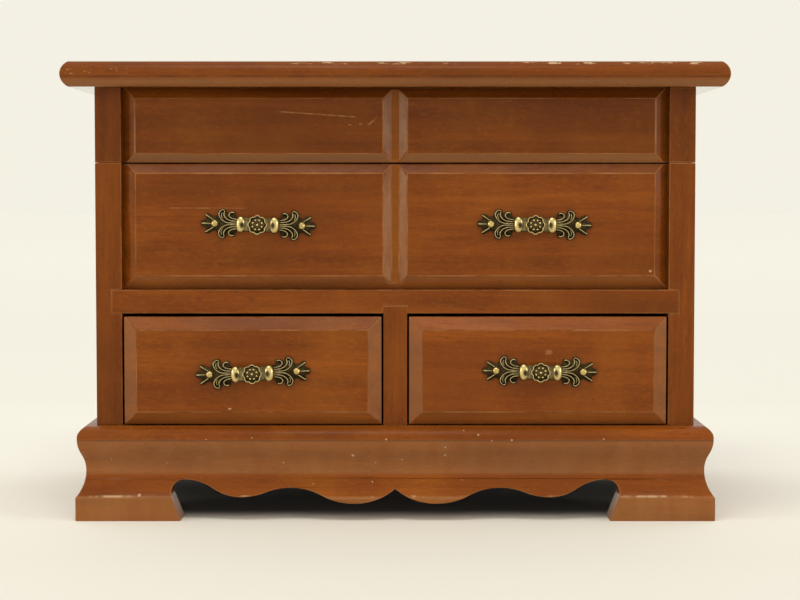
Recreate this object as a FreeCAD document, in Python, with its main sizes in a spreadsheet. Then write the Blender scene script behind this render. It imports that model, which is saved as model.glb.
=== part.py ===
import FreeCAD, Part
import Sketcher
import math
import os

# Miniature chest-of-drawers jewelry box: a case with two drawers, a lift-up lid behind a
# false drawer front, a moulded base with a scroll-cut apron, and cast brass pulls.
# Millimetres. The origin is under the middle of the box at floor level; the front faces -Y.

SIZES = {
    # Case boards
    "case_width": "277",
    "case_depth": "168",
    "side_thickness": "12",
    "shelf_thickness": "11",
    "shelf_housing": "4.8",
    "divider_thickness": "11",
    "divider_housing": "3.6",
    "back_thickness": "9",
    "bottom_thickness": "5",
    "drawer_opening_height": "51.9",
    "compartment_height": "58.1",
    # Lid
    "lid_gap": "0.6",
    "lid_height": "34.4",
    "top_thickness": "11.5",
    "top_overhang_front": "13",
    "top_overhang_side": "14",
    "top_overhang_back": "4",
    "nose_depth": "3.3",
    "lining_thickness": "1",
    "mirror_thickness": "3",
    "mirror_width": "196",
    "mirror_depth": "110",
    # Raised and fielded fronts
    "panel_setback": "0.3",
    "panel_thickness": "11",
    "panel_chamfer_width": "6.4",
    "panel_chamfer_depth": "4.2",
    "seam_margin": "4.3",
    "lid_field_margin": "4.9",
    "groove_width": "11.1",
    "groove_flat": "3.5",
    "groove_depth": "2.5",
    "rail_nick_radius": "4.2",
    "rail_nick_depth": "2",
    # Drawers
    "drawer_side_gap": "0.9",
    "drawer_top_gap": "1.5",
    "drawer_bottom_gap": "0.4",
    "drawer_rear_gap": "1",
    "drawer_proud": "3.8",
    "drawer_front_thickness": "12",
    "drawer_chamfer_width": "6",
    "drawer_chamfer_depth": "4",
    "drawer_board": "6",
    "drawer_box_height": "38",
    "drawer_bottom_board": "3",
    "drawer_bottom_raise": "4",
    "drawer_groove": "2.5",
    # Base
    "base_height": "43.5",
    "base_thickness": "18",
    "base_rabbet": "4",
    "plinth_projection": "9",
    "plinth_height": "10.6",
    "waist_projection": "4.5",
    "waist_height": "23.2",
    "bulge_projection": "8.25",
    "bulge_height": "37.9",
    "ledge_projection": "4.1",
    "foot_length": "48.6",
    "foot_waist_height": "11.5",
    "foot_waist_inset": "4.6",
    "arch_height": "18.8",
    "arch_run": "5.9",
    "outer_lobe_height": "11",
    "hump_height": "15.1",
    "inner_lobe_height": "8",
    "cusp_height": "14.6",
    "side_foot_length": "42",
    "back_rail_thickness": "12",
    "back_rail_height": "20",
    "corner_block": "14",
    "corner_block_height": "24",
    # Compartment fittings
    "partition_thickness": "4",
    "partition_height": "34",
    "long_partition_place": "15",
    "ring_bay_length": "148",
    "ring_roll_height": "20",
    "ring_roll_gap": "0.4",
    "fitting_gap": "0.3",
    # Pulls and their nails
    "pull_length": "53",
    "pull_leaf_height": "13.2",
    "pull_plate": "1.2",
    "bridge_length": "19.5",
    "bridge_height": "7",
    "bridge_strip": "1.6",
    "bridge_projection": "6.2",
    "bridge_bend": "3",
    "knuckle_radius": "2.2",
    "knuckle_inset": "1.7",
    "knuckle_height": "8",
    "rosette_diameter": "8.8",
    "rosette_thickness": "1.3",
    "nail_spacing": "40.2",
    "nail_shank": "1.4",
    "nail_length": "8",
    "nail_head": "3.4",
    "nail_dome": "1",
    "nail_clearance": "0.05",
    # Hinges
    "hinge_spacing": "170",
    "leaf_length": "24",
    "leaf_width": "6.4",
    "leaf_thickness": "0.8",
    "leaf_gap": "0.2",
    "barrel_radius": "1.6",
    "barrel_gap": "0.3",
    "hinge_pin_radius": "0.7",
    "pin_clearance": "0.05",
    "screw_spacing": "14",
    "screw_head_radius": "1.4",
    "screw_shank_radius": "0.8",
    "screw_length": "7",
    # Lid stay
    "stay_reach": "32",
    "stay_rise_angle": "20",
    "lid_opening_angle": "95",
    "stay_width": "6",
    "stay_thickness": "1.2",
    "stay_standoff": "1.8",
    "stay_stud_radius": "1.4",
    "stay_head_radius": "2.7",
    "stay_head_thickness": "1.2",
    "stay_bite": "5",
}

doc = FreeCAD.newDocument("JewelryBox")
sheet = doc.addObject("Spreadsheet::Sheet", "Sizes")
for row, (alias, number) in enumerate(SIZES.items(), start=1):
    sheet.set(f"A{row}", alias)
    sheet.set(f"B{row}", number)
    sheet.setAlias(f"B{row}", alias)
doc.recompute()

sub_parts = []

X_AXIS = FreeCAD.Vector(1, 0, 0)
Y_AXIS = FreeCAD.Vector(0, 1, 0)
Z_AXIS = FreeCAD.Vector(0, 0, 1)
ALONG_X = FreeCAD.Rotation(Y_AXIS, 90)
OUT_OF_FRONT = FreeCAD.Rotation(X_AXIS, 90)

# Levels and faces that several pieces share, as expressions over the sheet
CASE_RIGHT = "(Sizes.case_width / 2)"
INNER_RIGHT = "(Sizes.case_width / 2 - Sizes.side_thickness)"
TOP_DEPTH = "(Sizes.top_overhang_front + Sizes.case_depth + Sizes.top_overhang_back)"
TOP_FRONT = f"(-{TOP_DEPTH} / 2)"
CASE_FRONT = f"({TOP_FRONT} + Sizes.top_overhang_front)"
CASE_BACK = f"({CASE_FRONT} + Sizes.case_depth)"
BACK_INNER = f"({CASE_BACK} - Sizes.back_thickness)"
SHELF_BOTTOM = "(Sizes.base_height + Sizes.drawer_opening_height)"
SHELF_TOP = f"({SHELF_BOTTOM} + Sizes.shelf_thickness)"
SEAM = f"({SHELF_TOP} + Sizes.compartment_height)"
LID_BOTTOM = f"({SEAM} + Sizes.lid_gap)"
LID_TOP = f"({LID_BOTTOM} + Sizes.lid_height)"
PANEL_FACE = f"({CASE_FRONT} + Sizes.panel_setback)"
PANEL_BACK = f"({PANEL_FACE} + Sizes.panel_thickness)"
BASE_RIGHT = f"({CASE_RIGHT} + Sizes.plinth_projection)"
BASE_FRONT = f"({CASE_FRONT} - Sizes.plinth_projection)"
BASE_INNER_RIGHT = f"({BASE_RIGHT} - Sizes.base_thickness)"
BASE_INNER_FRONT = f"({BASE_FRONT} + Sizes.base_thickness)"
BOTTOM_UNDERSIDE = "(Sizes.base_height - Sizes.bottom_thickness)"
FLOOR_LINING_TOP = f"({SHELF_TOP} + Sizes.lining_thickness)"
HINGE_Y = f"({CASE_BACK} + Sizes.barrel_gap + Sizes.barrel_radius)"
HINGE_Z = f"({SEAM} + Sizes.lid_gap / 2)"


def value(expression):
    """The number that an expression over the sheet gives."""
    return float(sheet.evalExpression(expression))


def bind(feature, **expressions):
    """Bind properties to expressions; x, y and z bind the placement."""
    for name, expression in expressions.items():
        path = f".Placement.Base.{name}" if name in ("x", "y", "z") else name
        feature.setExpression(path, expression)
    return feature


def finish(feature, label):
    """Register a feature as a sub-part under its node name."""
    feature.Label = label
    sub_parts.append(feature)
    return feature


def block(name, low, high):
    """A square-edged board between two corners given as expressions."""
    box = doc.addObject("Part::Box", name)
    spans = [f"({top}) - ({bottom})" for bottom, top in zip(low, high)]
    bind(box, Length=spans[0], Width=spans[1], Height=spans[2], x=low[0], y=low[1], z=low[2])
    return box


def rod(name, radius, length, x, y, z, rotation=None):
    """A cylinder from a point, along +Z or along the turned axis."""
    cylinder = doc.addObject("Part::Cylinder", name)
    if rotation:
        cylinder.Placement = FreeCAD.Placement(FreeCAD.Vector(), rotation)
    return bind(cylinder, Radius=radius, Height=length, x=x, y=y, z=z)


def cut(name, base, *tools):
    """The base with each tool taken out of it."""
    feature = doc.addObject("Part::Cut", name)
    feature.Base = base
    feature.Tool = tools[0] if len(tools) == 1 else fuse(f"{name}_tools", *tools)
    return feature


def fuse(name, *pieces):
    """Several features joined into one solid."""
    feature = doc.addObject("Part::MultiFuse", name)
    feature.Shapes = list(pieces)
    feature.Refine = True
    return feature


def group(name, pieces):
    """Separate solids that share one node."""
    feature = doc.addObject("Part::Compound", name)
    feature.Links = list(pieces)
    return feature


def mirrored(name, source):
    """The mirror image of a feature about the box's middle plane."""
    feature = doc.addObject("Part::Mirroring", name)
    feature.Source = source
    feature.Normal = X_AXIS
    return feature


def origin_plane(body, role):
    """One of a body's own origin planes."""
    return [plane for plane in body.Origin.OriginFeatures if plane.Role == role][0]


def body_sketch(body, name, role):
    """A sketch on one of the body's origin planes."""
    sketch = body.newObject("Sketcher::SketchObject", name)
    sketch.AttachmentSupport = [(origin_plane(body, role), "")]
    sketch.MapMode = "FlatFace"
    return sketch


def arc_between(start, end, radius, turn):
    """Arc of under a half circle; turn is 1 for counter-clockwise travel, -1 for clockwise."""
    middle = (start + end) * 0.5
    chord = end - start
    rise = math.sqrt(max(radius ** 2 - (chord.Length / 2) ** 2, 0.0))
    left = FreeCAD.Vector(-chord.y, chord.x, 0).normalize()
    centre = middle + left * (rise * turn)
    first, last = (start, end) if turn > 0 else (end, start)
    angle_first = math.atan2(first.y - centre.y, first.x - centre.x)
    angle_last = math.atan2(last.y - centre.y, last.x - centre.x)
    if angle_last < angle_first:
        angle_last += 2 * math.pi
    return Part.ArcOfCircle(Part.Circle(centre, Z_AXIS, radius), angle_first, angle_last)


def outline(sketch, corners):
    """Close a loop through corners; each is (x, y) for a line to it or (x, y, radius, turn) for an arc.

    Every corner and radius is an expression, and the sketch is constrained by those expressions.
    """
    points = [FreeCAD.Vector(value(corner[0]), value(corner[1]), 0) for corner in corners]
    first = sketch.GeometryCount
    ends = []
    for index, corner in enumerate(corners):
        start, end = points[index - 1], points[index]
        if len(corner) == 2:
            sketch.addGeometry(Part.LineSegment(start, end), False)
            ends.append((1, 2))
        else:
            sketch.addGeometry(arc_between(start, end, value(corner[2]), corner[3]), False)
            ends.append((1, 2) if corner[3] > 0 else (2, 1))
    for index, corner in enumerate(corners):
        edge = first + index
        follower = (index + 1) % len(corners)
        sketch.addConstraint(
            Sketcher.Constraint("Coincident", edge, ends[index][1], first + follower, ends[follower][0])
        )
        for kind, expression, number in (
            ("DistanceX", corner[0], points[index].x),
            ("DistanceY", corner[1], points[index].y),
        ):
            constraint = sketch.addConstraint(
                Sketcher.Constraint(kind, -1, 1, edge, ends[index][1], number)
            )
            sketch.setExpression(f"Constraints[{constraint}]", expression)
        if len(corner) == 4:
            constraint = sketch.addConstraint(Sketcher.Constraint("Radius", edge, value(corner[2])))
            sketch.setExpression(f"Constraints[{constraint}]", corner[2])


def square_distance(start, end):
    """Expression for the squared distance between two points of expressions."""
    return f"(({end[0]} - {start[0]})^2 + ({end[1]} - {start[1]})^2)"


def quarter_radius(start, end, axis):
    """Radius of an arc that leaves start square to an axis (0 for x, 1 for y) and reaches end."""
    return f"({square_distance(start, end)} / (2 * abs({end[axis]} - {start[axis]})))"


def middle_of(start, end):
    """The point half-way between two points of expressions."""
    return tuple(f"(({a} + {b}) / 2)" for a, b in zip(start, end))


def pocket(body, sketch, name):
    """Cut a sketch right through a body, both ways."""
    feature = body.newObject("PartDesign::Pocket", name)
    feature.Profile = sketch
    feature.Type = "ThroughAll"
    feature.SideType = "Symmetric"
    return feature


# Base: mitred mouldings with a scroll-cut lower edge
def moulding_section(sketch, face, sign):
    """Section of the base moulding; sign is the outward direction along the sketch's x."""
    def at(projection, height):
        return (f"({face} + {sign} * ({projection}))", height)

    inner = "Sizes.plinth_projection - Sizes.base_thickness"
    toe = at("Sizes.plinth_projection", "0")
    plinth = at("Sizes.plinth_projection", "Sizes.plinth_height")
    waist = at("Sizes.waist_projection", "Sizes.waist_height")
    bulge = at("Sizes.bulge_projection", "Sizes.bulge_height")
    ledge = at("Sizes.ledge_projection", "Sizes.base_height")
    turn_over = middle_of(waist, bulge)
    rabbet = f"{inner} + Sizes.base_rabbet"
    ogee = f"({square_distance(waist, bulge)} / (4 * abs({bulge[0]} - {waist[0]})))"
    outline(sketch, [
        toe,
        plinth,
        (*waist, quarter_radius(waist, plinth, 0), -sign),
        (*turn_over, ogee, -sign),
        (*bulge, ogee, sign),
        (*ledge, quarter_radius(bulge, ledge, 0), sign),
        at(rabbet, "Sizes.base_height"),
        at(rabbet, BOTTOM_UNDERSIDE),
        at(inner, BOTTOM_UNDERSIDE),
        at(inner, "0"),
    ])


def wave(low, high, turn):
    """Two equal arcs between neighbouring level points of the scroll."""
    radius = f"({square_distance(low, high)} / (4 * abs({high[1]} - {low[1]})))"
    return [(*middle_of(low, high), radius, turn), (*high, radius, -turn)]


def scroll_half(centre, span, shares, sign):
    """Half of a scroll-cut edge, from its middle to the toe of a foot, as outline corners."""
    def at(offset, height):
        return (f"({centre} + {sign} * ({offset}))", height)

    toe = at(span, "0")
    waist = at(f"{span} + Sizes.foot_waist_inset", "Sizes.foot_waist_height")
    arch = at(f"{span} + Sizes.foot_waist_inset - Sizes.arch_run", "Sizes.arch_height")
    levels = [at(f"{span} * {share}", height) for share, height in shares] + [arch]
    corners = []
    for low, high in zip(levels, levels[1:]):
        rising = value(high[1]) > value(low[1])
        corners += wave(low, high, sign if rising else -sign)
    corners.append((*waist, quarter_radius(arch, waist, 1), -sign))
    return levels[0], corners, toe


# Where the lobes and the hump of the front scroll stand along the half span
INNER_LOBE_SHARE = 0.191
HUMP_SHARE = 0.49
OUTER_LOBE_SHARE = 0.72


def base_front():
    body = doc.addObject("PartDesign::Body", "base_front_body")
    section = body_sketch(body, "base_front_section", "YZ_Plane")
    moulding_section(section, CASE_FRONT, -1)
    pad = body.newObject("PartDesign::Pad", "base_front_pad")
    pad.Profile = section
    pad.SideType = "Symmetric"
    bind(pad, Length=f"2 * {BASE_RIGHT}")
    doc.recompute()
    mitres = body_sketch(body, "base_front_mitres", "XY_Plane")
    for sign in (1, -1):
        outline(mitres, [
            (f"{sign} * {BASE_RIGHT}", BASE_FRONT),
            (f"{sign} * {BASE_RIGHT}", BASE_INNER_FRONT),
            (f"{sign} * {BASE_INNER_RIGHT}", BASE_INNER_FRONT),
        ])
    pocket(body, mitres, "base_front_mitre_cut")
    doc.recompute()
    scroll = body_sketch(body, "base_front_scroll", "XZ_Plane")
    span = f"({BASE_RIGHT} - Sizes.foot_length)"
    shares = [
        (INNER_LOBE_SHARE, "Sizes.inner_lobe_height"),
        (HUMP_SHARE, "Sizes.hump_height"),
        (OUTER_LOBE_SHARE, "Sizes.outer_lobe_height"),
    ]
    lobe_right, right, toe_right = scroll_half("0", span, shares, 1)
    lobe_left, left, toe_left = scroll_half("0", span, shares, -1)
    cusp = ("0", "Sizes.cusp_height")
    cusp_radius = quarter_radius(lobe_right, cusp, 1)
    outline(scroll, [
        (*lobe_right, cusp_radius, 1),
        *right,
        toe_right,
        toe_left,
        *reversed_path(left, lobe_left),
        (*cusp, cusp_radius, 1),
    ])
    pocket(body, scroll, "base_front_scroll_cut")
    return finish(body, "base_front")


def reversed_path(corners, start):
    """The corners of a half scroll walked the other way, from its foot back to its first level point."""
    points = [start] + [corner[:2] for corner in corners]
    back = [points[-1]]
    for index in range(len(corners) - 1, -1, -1):
        radius, turn = corners[index][2], corners[index][3]
        back.append((*points[index], radius, -turn))
    return back


def base_right():
    body = doc.addObject("PartDesign::Body", "base_right_body")
    section = body_sketch(body, "base_right_section", "XZ_Plane")
    section.setExpression(".AttachmentOffset.Base.z", f"-{CASE_BACK}")
    moulding_section(section, CASE_RIGHT, 1)
    pad = body.newObject("PartDesign::Pad", "base_right_pad")
    pad.Profile = section
    bind(pad, Length=f"{CASE_BACK} - {BASE_FRONT}")
    doc.recompute()
    mitre = body_sketch(body, "base_right_mitre", "XY_Plane")
    outline(mitre, [
        (BASE_RIGHT, BASE_FRONT),
        (BASE_INNER_RIGHT, BASE_INNER_FRONT),
        (BASE_INNER_RIGHT, BASE_FRONT),
    ])
    pocket(body, mitre, "base_right_mitre_cut")
    doc.recompute()
    scroll = body_sketch(body, "base_right_scroll", "YZ_Plane")
    centre = f"(({BASE_FRONT} + {CASE_BACK}) / 2)"
    span = f"(({CASE_BACK} - {BASE_FRONT}) / 2 - Sizes.side_foot_length)"
    shares = [("0", "Sizes.inner_lobe_height")]
    lobe, rear, toe_rear = scroll_half(centre, span, shares, 1)
    lobe, front, toe_front = scroll_half(centre, span, shares, -1)
    outline(scroll, [*rear, toe_rear, toe_front, *reversed_path(front, lobe)])
    pocket(body, scroll, "base_right_scroll_cut")
    return finish(body, "base_right")


def base():
    base_front()
    right = base_right()
    finish(mirrored("base_left_mirror", right), "base_left")
    inner_back = f"({CASE_BACK} - Sizes.back_rail_thickness)"
    rail = block(
        "base_back_board",
        (f"-{BASE_INNER_RIGHT}", inner_back, f"{BOTTOM_UNDERSIDE} - Sizes.back_rail_height"),
        (BASE_INNER_RIGHT, CASE_BACK, BOTTOM_UNDERSIDE),
    )
    finish(rail, "base_back")
    bottom_right = f"({BASE_INNER_RIGHT} + Sizes.base_rabbet)"
    board = block(
        "bottom_panel",
        (f"-{bottom_right}", f"{BASE_INNER_FRONT} - Sizes.base_rabbet", BOTTOM_UNDERSIDE),
        (bottom_right, CASE_BACK, "Sizes.base_height"),
    )
    finish(board, "bottom_board")
    blocks = []
    for name, near in (("front", BASE_INNER_FRONT), ("rear", f"({inner_back} - Sizes.corner_block)")):
        corner = block(
            f"{name}_right_block",
            (f"{BASE_INNER_RIGHT} - Sizes.corner_block", near,
             f"{BOTTOM_UNDERSIDE} - Sizes.corner_block_height"),
            (BASE_INNER_RIGHT, f"{near} + Sizes.corner_block", BOTTOM_UNDERSIDE),
        )
        blocks += [corner, mirrored(f"{name}_left_block", corner)]
    finish(group("corner_block_set", blocks), "corner_blocks")


# Case: side boards, shelf, divider, back and false drawer front
def side_board(name):
    board = block(
        f"{name}_board",
        (INNER_RIGHT, CASE_FRONT, "Sizes.base_height"),
        (CASE_RIGHT, CASE_BACK, SEAM),
    )
    housing = block(
        f"{name}_housing",
        (INNER_RIGHT, CASE_FRONT, SHELF_BOTTOM),
        (f"({INNER_RIGHT} + Sizes.shelf_housing)", BACK_INNER, SHELF_TOP),
    )
    return board, housing


def case():
    board, housing = side_board("left_side")
    finish(mirrored("left_side_mirror", cut("left_side_cut", board, housing)), "left_side")
    board, housing = side_board("right_side")
    finish(cut("right_side_cut", board, housing, stay_hole("case", "-")), "right_side")

    shelf_right = f"({INNER_RIGHT} + Sizes.shelf_housing)"
    board = block(
        "shelf_board", (f"-{shelf_right}", CASE_FRONT, SHELF_BOTTOM), (shelf_right, BACK_INNER, SHELF_TOP)
    )
    half_divider = "(Sizes.divider_thickness / 2)"
    divider_top = f"({SHELF_BOTTOM} + Sizes.divider_housing)"
    housing = block(
        "divider_housing_cut",
        (f"-{half_divider}", CASE_FRONT, SHELF_BOTTOM),
        (half_divider, BACK_INNER, divider_top),
    )
    nick = doc.addObject("Part::Cone", "rail_nick")
    nick.Placement = FreeCAD.Placement(FreeCAD.Vector(), FreeCAD.Rotation(X_AXIS, -90))
    bind(nick, Radius1="Sizes.rail_nick_radius", Height="Sizes.rail_nick_depth", y=CASE_FRONT, z=SHELF_TOP)
    nick.Radius2 = 0
    finish(cut("shelf_cut", board, housing, nick), "shelf")
    finish(block(
        "divider_board",
        (f"-{half_divider}", CASE_FRONT, "Sizes.base_height"),
        (half_divider, BACK_INNER, divider_top),
    ), "divider")

    board = block(
        "case_back_board",
        (f"-{INNER_RIGHT}", BACK_INNER, "Sizes.base_height"),
        (INNER_RIGHT, CASE_BACK, SEAM),
    )
    finish(cut("case_back_cut", board, *hinge_seats("case", "-")), "case_back")

    front = fielded_board(
        "false_front",
        (f"-{INNER_RIGHT}", INNER_RIGHT),
        (SHELF_TOP, SEAM),
        PANEL_FACE,
        "Sizes.panel_thickness",
        ("Sizes.panel_chamfer_width", "Sizes.panel_chamfer_depth"),
        top_margin="Sizes.seam_margin",
    )
    holes = [hole for place in panel_pull_places() for hole in nail_holes(*place)]
    finish(cut("false_front_cut", front, field_groove("false_front", SHELF_TOP, SEAM), *holes), "false_front")


def fielded_board(name, across, upright, face, thickness, chamfer, bottom_margin=None, top_margin=None):
    """A board whose front field stands forward of sloping margins."""
    width, depth = chamfer
    left, right = across
    bottom, top = upright
    field_bottom = f"({bottom} + {bottom_margin or width})"
    field_top = f"({top} - {top_margin or width})"
    slope = doc.addObject("Part::Wedge", f"{name}_slope")
    bind(
        slope,
        Xmin=f"{left} + {width}", Xmax=f"{right} - {width}", Zmin=field_bottom, Zmax=field_top,
        X2min=left, X2max=right, Z2min=f"{field_bottom} - {width}", Z2max=f"{field_top} + {width}",
        Ymin=face, Ymax=f"{face} + {depth}",
    )
    trim = block(f"{name}_trim", (left, face, bottom), (right, f"({face} + {depth})", top))
    raised = doc.addObject("Part::Common", f"{name}_raised")
    raised.Base = slope
    raised.Tool = trim
    core = block(
        f"{name}_core", (left, f"({face} + {depth})", bottom), (right, f"({face} + {thickness})", top)
    )
    return fuse(f"{name}_blank", raised, core)


def field_groove(name, bottom, top):
    """Upright groove that parts a panel into two fields."""
    groove = doc.addObject("Part::Wedge", f"{name}_groove")
    bind(
        groove,
        Xmin="-Sizes.groove_width / 2", Xmax="Sizes.groove_width / 2", Zmin=bottom, Zmax=top,
        X2min="-Sizes.groove_flat / 2", X2max="Sizes.groove_flat / 2", Z2min=bottom, Z2max=top,
        Ymin=PANEL_FACE, Ymax=f"{PANEL_FACE} + Sizes.groove_depth",
    )
    return groove


# Compartment: velvet linings, partitions and ring rolls
LINED_RIGHT = f"({INNER_RIGHT} - Sizes.lining_thickness)"
LINED_FRONT = f"({PANEL_BACK} + Sizes.lining_thickness)"
LINED_BACK = f"({BACK_INNER} - Sizes.lining_thickness)"
RING_ROLLS = 4


def compartment():
    outer = block(
        "wall_lining_outer", (f"-{INNER_RIGHT}", PANEL_BACK, SHELF_TOP), (INNER_RIGHT, BACK_INNER, SEAM)
    )
    inner = block(
        "wall_lining_inner", (f"-{LINED_RIGHT}", LINED_FRONT, SHELF_TOP), (LINED_RIGHT, LINED_BACK, SEAM)
    )
    stud_clearance = rod(
        "wall_lining_stud_hole", "Sizes.stay_stud_radius + Sizes.fitting_gap", "4 * Sizes.lining_thickness",
        f"{INNER_RIGHT} - 2 * Sizes.lining_thickness", STAY_Y, stay_z("-"), ALONG_X,
    )
    finish(cut("wall_lining_cut", outer, inner, stud_clearance), "wall_lining")
    finish(block(
        "floor_lining_sheet",
        (f"-{LINED_RIGHT}", LINED_FRONT, SHELF_TOP),
        (LINED_RIGHT, LINED_BACK, FLOOR_LINING_TOP),
    ), "floor_lining")

    long_front = "Sizes.long_partition_place"
    long_back = f"({long_front} + Sizes.partition_thickness)"
    partition_top = f"({FLOOR_LINING_TOP} + Sizes.partition_height)"
    half_partition = "(Sizes.partition_thickness / 2)"
    finish(block(
        "long_partition_board",
        (f"-{LINED_RIGHT}", long_front, FLOOR_LINING_TOP),
        (LINED_RIGHT, long_back, partition_top),
    ), "partition_long")
    finish(block(
        "front_partition_board",
        (f"-{half_partition}", LINED_FRONT, FLOOR_LINING_TOP),
        (half_partition, long_front, partition_top),
    ), "partition_front")
    ring_end = f"(-{LINED_RIGHT} + Sizes.ring_bay_length)"
    finish(block(
        "rear_partition_board",
        (ring_end, long_back, FLOOR_LINING_TOP),
        (f"({ring_end} + Sizes.partition_thickness)", LINED_BACK, partition_top),
    ), "partition_rear")
    pitch = f"(({LINED_BACK} - {long_back}) / {RING_ROLLS})"
    for number in range(RING_ROLLS):
        ring_roll(number + 1, f"({long_back} + {number} * {pitch})", pitch, ring_end)


def ring_roll(number, front, pitch, ring_end):
    """Padded roll with a flat base and a round crown, shaped by the slots that hold rings."""
    body = doc.addObject("PartDesign::Body", f"ring_roll_{number}_body")
    section = body_sketch(body, f"ring_roll_{number}_section", "YZ_Plane")
    near = f"({front} + Sizes.ring_roll_gap)"
    far = f"({front} + {pitch} - Sizes.ring_roll_gap)"
    radius = f"(({far} - {near}) / 2)"
    middle = f"(({far} + {near}) / 2)"
    crown = f"({FLOOR_LINING_TOP} + Sizes.ring_roll_height)"
    shoulder = f"({crown} - {radius})"
    outline(section, [
        (near, FLOOR_LINING_TOP),
        (far, FLOOR_LINING_TOP),
        (far, shoulder),
        (middle, crown, radius, 1),
        (near, shoulder, radius, 1),
    ])
    pad = body.newObject("PartDesign::Pad", f"ring_roll_{number}_pad")
    pad.Profile = section
    bind(pad, Length=f"{ring_end} + {LINED_RIGHT} - 2 * Sizes.fitting_gap")
    bind(body, x=f"-{LINED_RIGHT} + Sizes.fitting_gap")
    finish(body, f"ring_roll_{number}")


# Lid: top board with rounded edges over a shallow frame
def nosed_section(sketch, ends, bottom, top):
    """Board section whose marked ends are rounded; ends is ((x, rounded), (x, rounded)), low end first."""
    (low, low_nosed), (high, high_nosed) = ends
    middle = f"(({bottom} + {top}) / 2)"
    half = f"(({top} - {bottom}) / 2)"
    radius = f"(({half}^2 + Sizes.nose_depth^2) / (2 * Sizes.nose_depth))"
    corners = []
    for x, nosed, sign in ((high, high_nosed, 1), (low, low_nosed, -1)):
        first, last = (bottom, top) if sign > 0 else (top, bottom)
        if nosed:
            inset = f"({x} - {sign} * Sizes.nose_depth)"
            corners += [(inset, first), (x, middle, radius, 1), (inset, last, radius, 1)]
        else:
            corners += [(x, first), (x, last)]
    outline(sketch, corners)


def top_board():
    top_right = f"({CASE_RIGHT} + Sizes.top_overhang_side)"
    top_back = f"({CASE_BACK} + Sizes.top_overhang_back)"
    top_level = f"({LID_TOP} + Sizes.top_thickness)"
    lengthwise = doc.addObject("PartDesign::Body", "top_lengthwise")
    section = body_sketch(lengthwise, "top_side_section", "YZ_Plane")
    nosed_section(section, ((TOP_FRONT, True), (top_back, False)), LID_TOP, top_level)
    pad = lengthwise.newObject("PartDesign::Pad", "top_lengthwise_pad")
    pad.Profile = section
    pad.SideType = "Symmetric"
    bind(pad, Length=f"2 * {top_right}")
    crosswise = doc.addObject("PartDesign::Body", "top_crosswise")
    section = body_sketch(crosswise, "top_front_section", "XZ_Plane")
    nosed_section(section, ((f"-{top_right}", True), (top_right, True)), LID_TOP, top_level)
    pad = crosswise.newObject("PartDesign::Pad", "top_crosswise_pad")
    pad.Profile = section
    pad.SideType = "Symmetric"
    bind(pad, Length=TOP_DEPTH)
    board = doc.addObject("Part::Common", "top_board_shape")
    board.Base = lengthwise
    board.Tool = crosswise
    finish(board, "top_board")


def lid():
    top_board()
    low, high = (INNER_RIGHT, CASE_FRONT, LID_BOTTOM), (CASE_RIGHT, CASE_BACK, LID_TOP)
    finish(mirrored("lid_left_mirror", block("lid_left_board", low, high)), "lid_left_side")
    board = block("lid_right_board", low, high)
    finish(cut("lid_right_cut", board, stay_hole("lid", "+")), "lid_right_side")
    front = fielded_board(
        "lid_front",
        (f"-{INNER_RIGHT}", INNER_RIGHT),
        (LID_BOTTOM, LID_TOP),
        PANEL_FACE,
        "Sizes.panel_thickness",
        ("Sizes.panel_chamfer_width", "Sizes.panel_chamfer_depth"),
        bottom_margin="Sizes.seam_margin",
        top_margin="Sizes.lid_field_margin",
    )
    finish(cut("lid_front_cut", front, field_groove("lid_front", LID_BOTTOM, LID_TOP)), "lid_front")
    board = block("lid_back_board", (f"-{INNER_RIGHT}", BACK_INNER, LID_BOTTOM), (INNER_RIGHT, CASE_BACK, LID_TOP))
    finish(cut("lid_back_cut", board, *hinge_seats("lid", "+")), "lid_back")
    lining_bottom = f"({LID_TOP} - Sizes.lining_thickness)"
    finish(block(
        "lid_lining_sheet", (f"-{INNER_RIGHT}", PANEL_BACK, lining_bottom), (INNER_RIGHT, BACK_INNER, LID_TOP)
    ), "lid_lining")
    mirror_middle = f"(({PANEL_BACK} + {BACK_INNER}) / 2)"
    finish(block(
        "mirror_plate",
        ("-Sizes.mirror_width / 2", f"{mirror_middle} - Sizes.mirror_depth / 2",
         f"{lining_bottom} - Sizes.mirror_thickness"),
        ("Sizes.mirror_width / 2", f"({mirror_middle} + Sizes.mirror_depth / 2)", lining_bottom),
    ), "mirror")


# Hinges: two butt hinges let into the back edges of the case and the lid
def hinge_places():
    return (("left", "(-Sizes.hinge_spacing / 2)"), ("right", "(Sizes.hinge_spacing / 2)"))


def leaf_faces(side):
    """Levels of a leaf's inner and outer face; side is - for the case's leaf and + for the lid's."""
    inner = f"({HINGE_Z} {side} Sizes.leaf_gap / 2)"
    outer = f"({inner} {side} Sizes.leaf_thickness)"
    return inner, outer


def screw_places(centre):
    """X and Y of the screws of one leaf."""
    y = f"({CASE_BACK} - Sizes.leaf_width / 2)"
    return [(f"({centre} {sign} Sizes.screw_spacing / 2)", y) for sign in ("-", "+")]


def upright_rod(name, radius, x, y, start, length, side):
    """A rod that runs from a level away from the seam, down into the case or up into the lid."""
    z = f"({start} - {length})" if side == "-" else start
    return rod(name, radius, length, x, y, z)


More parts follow.
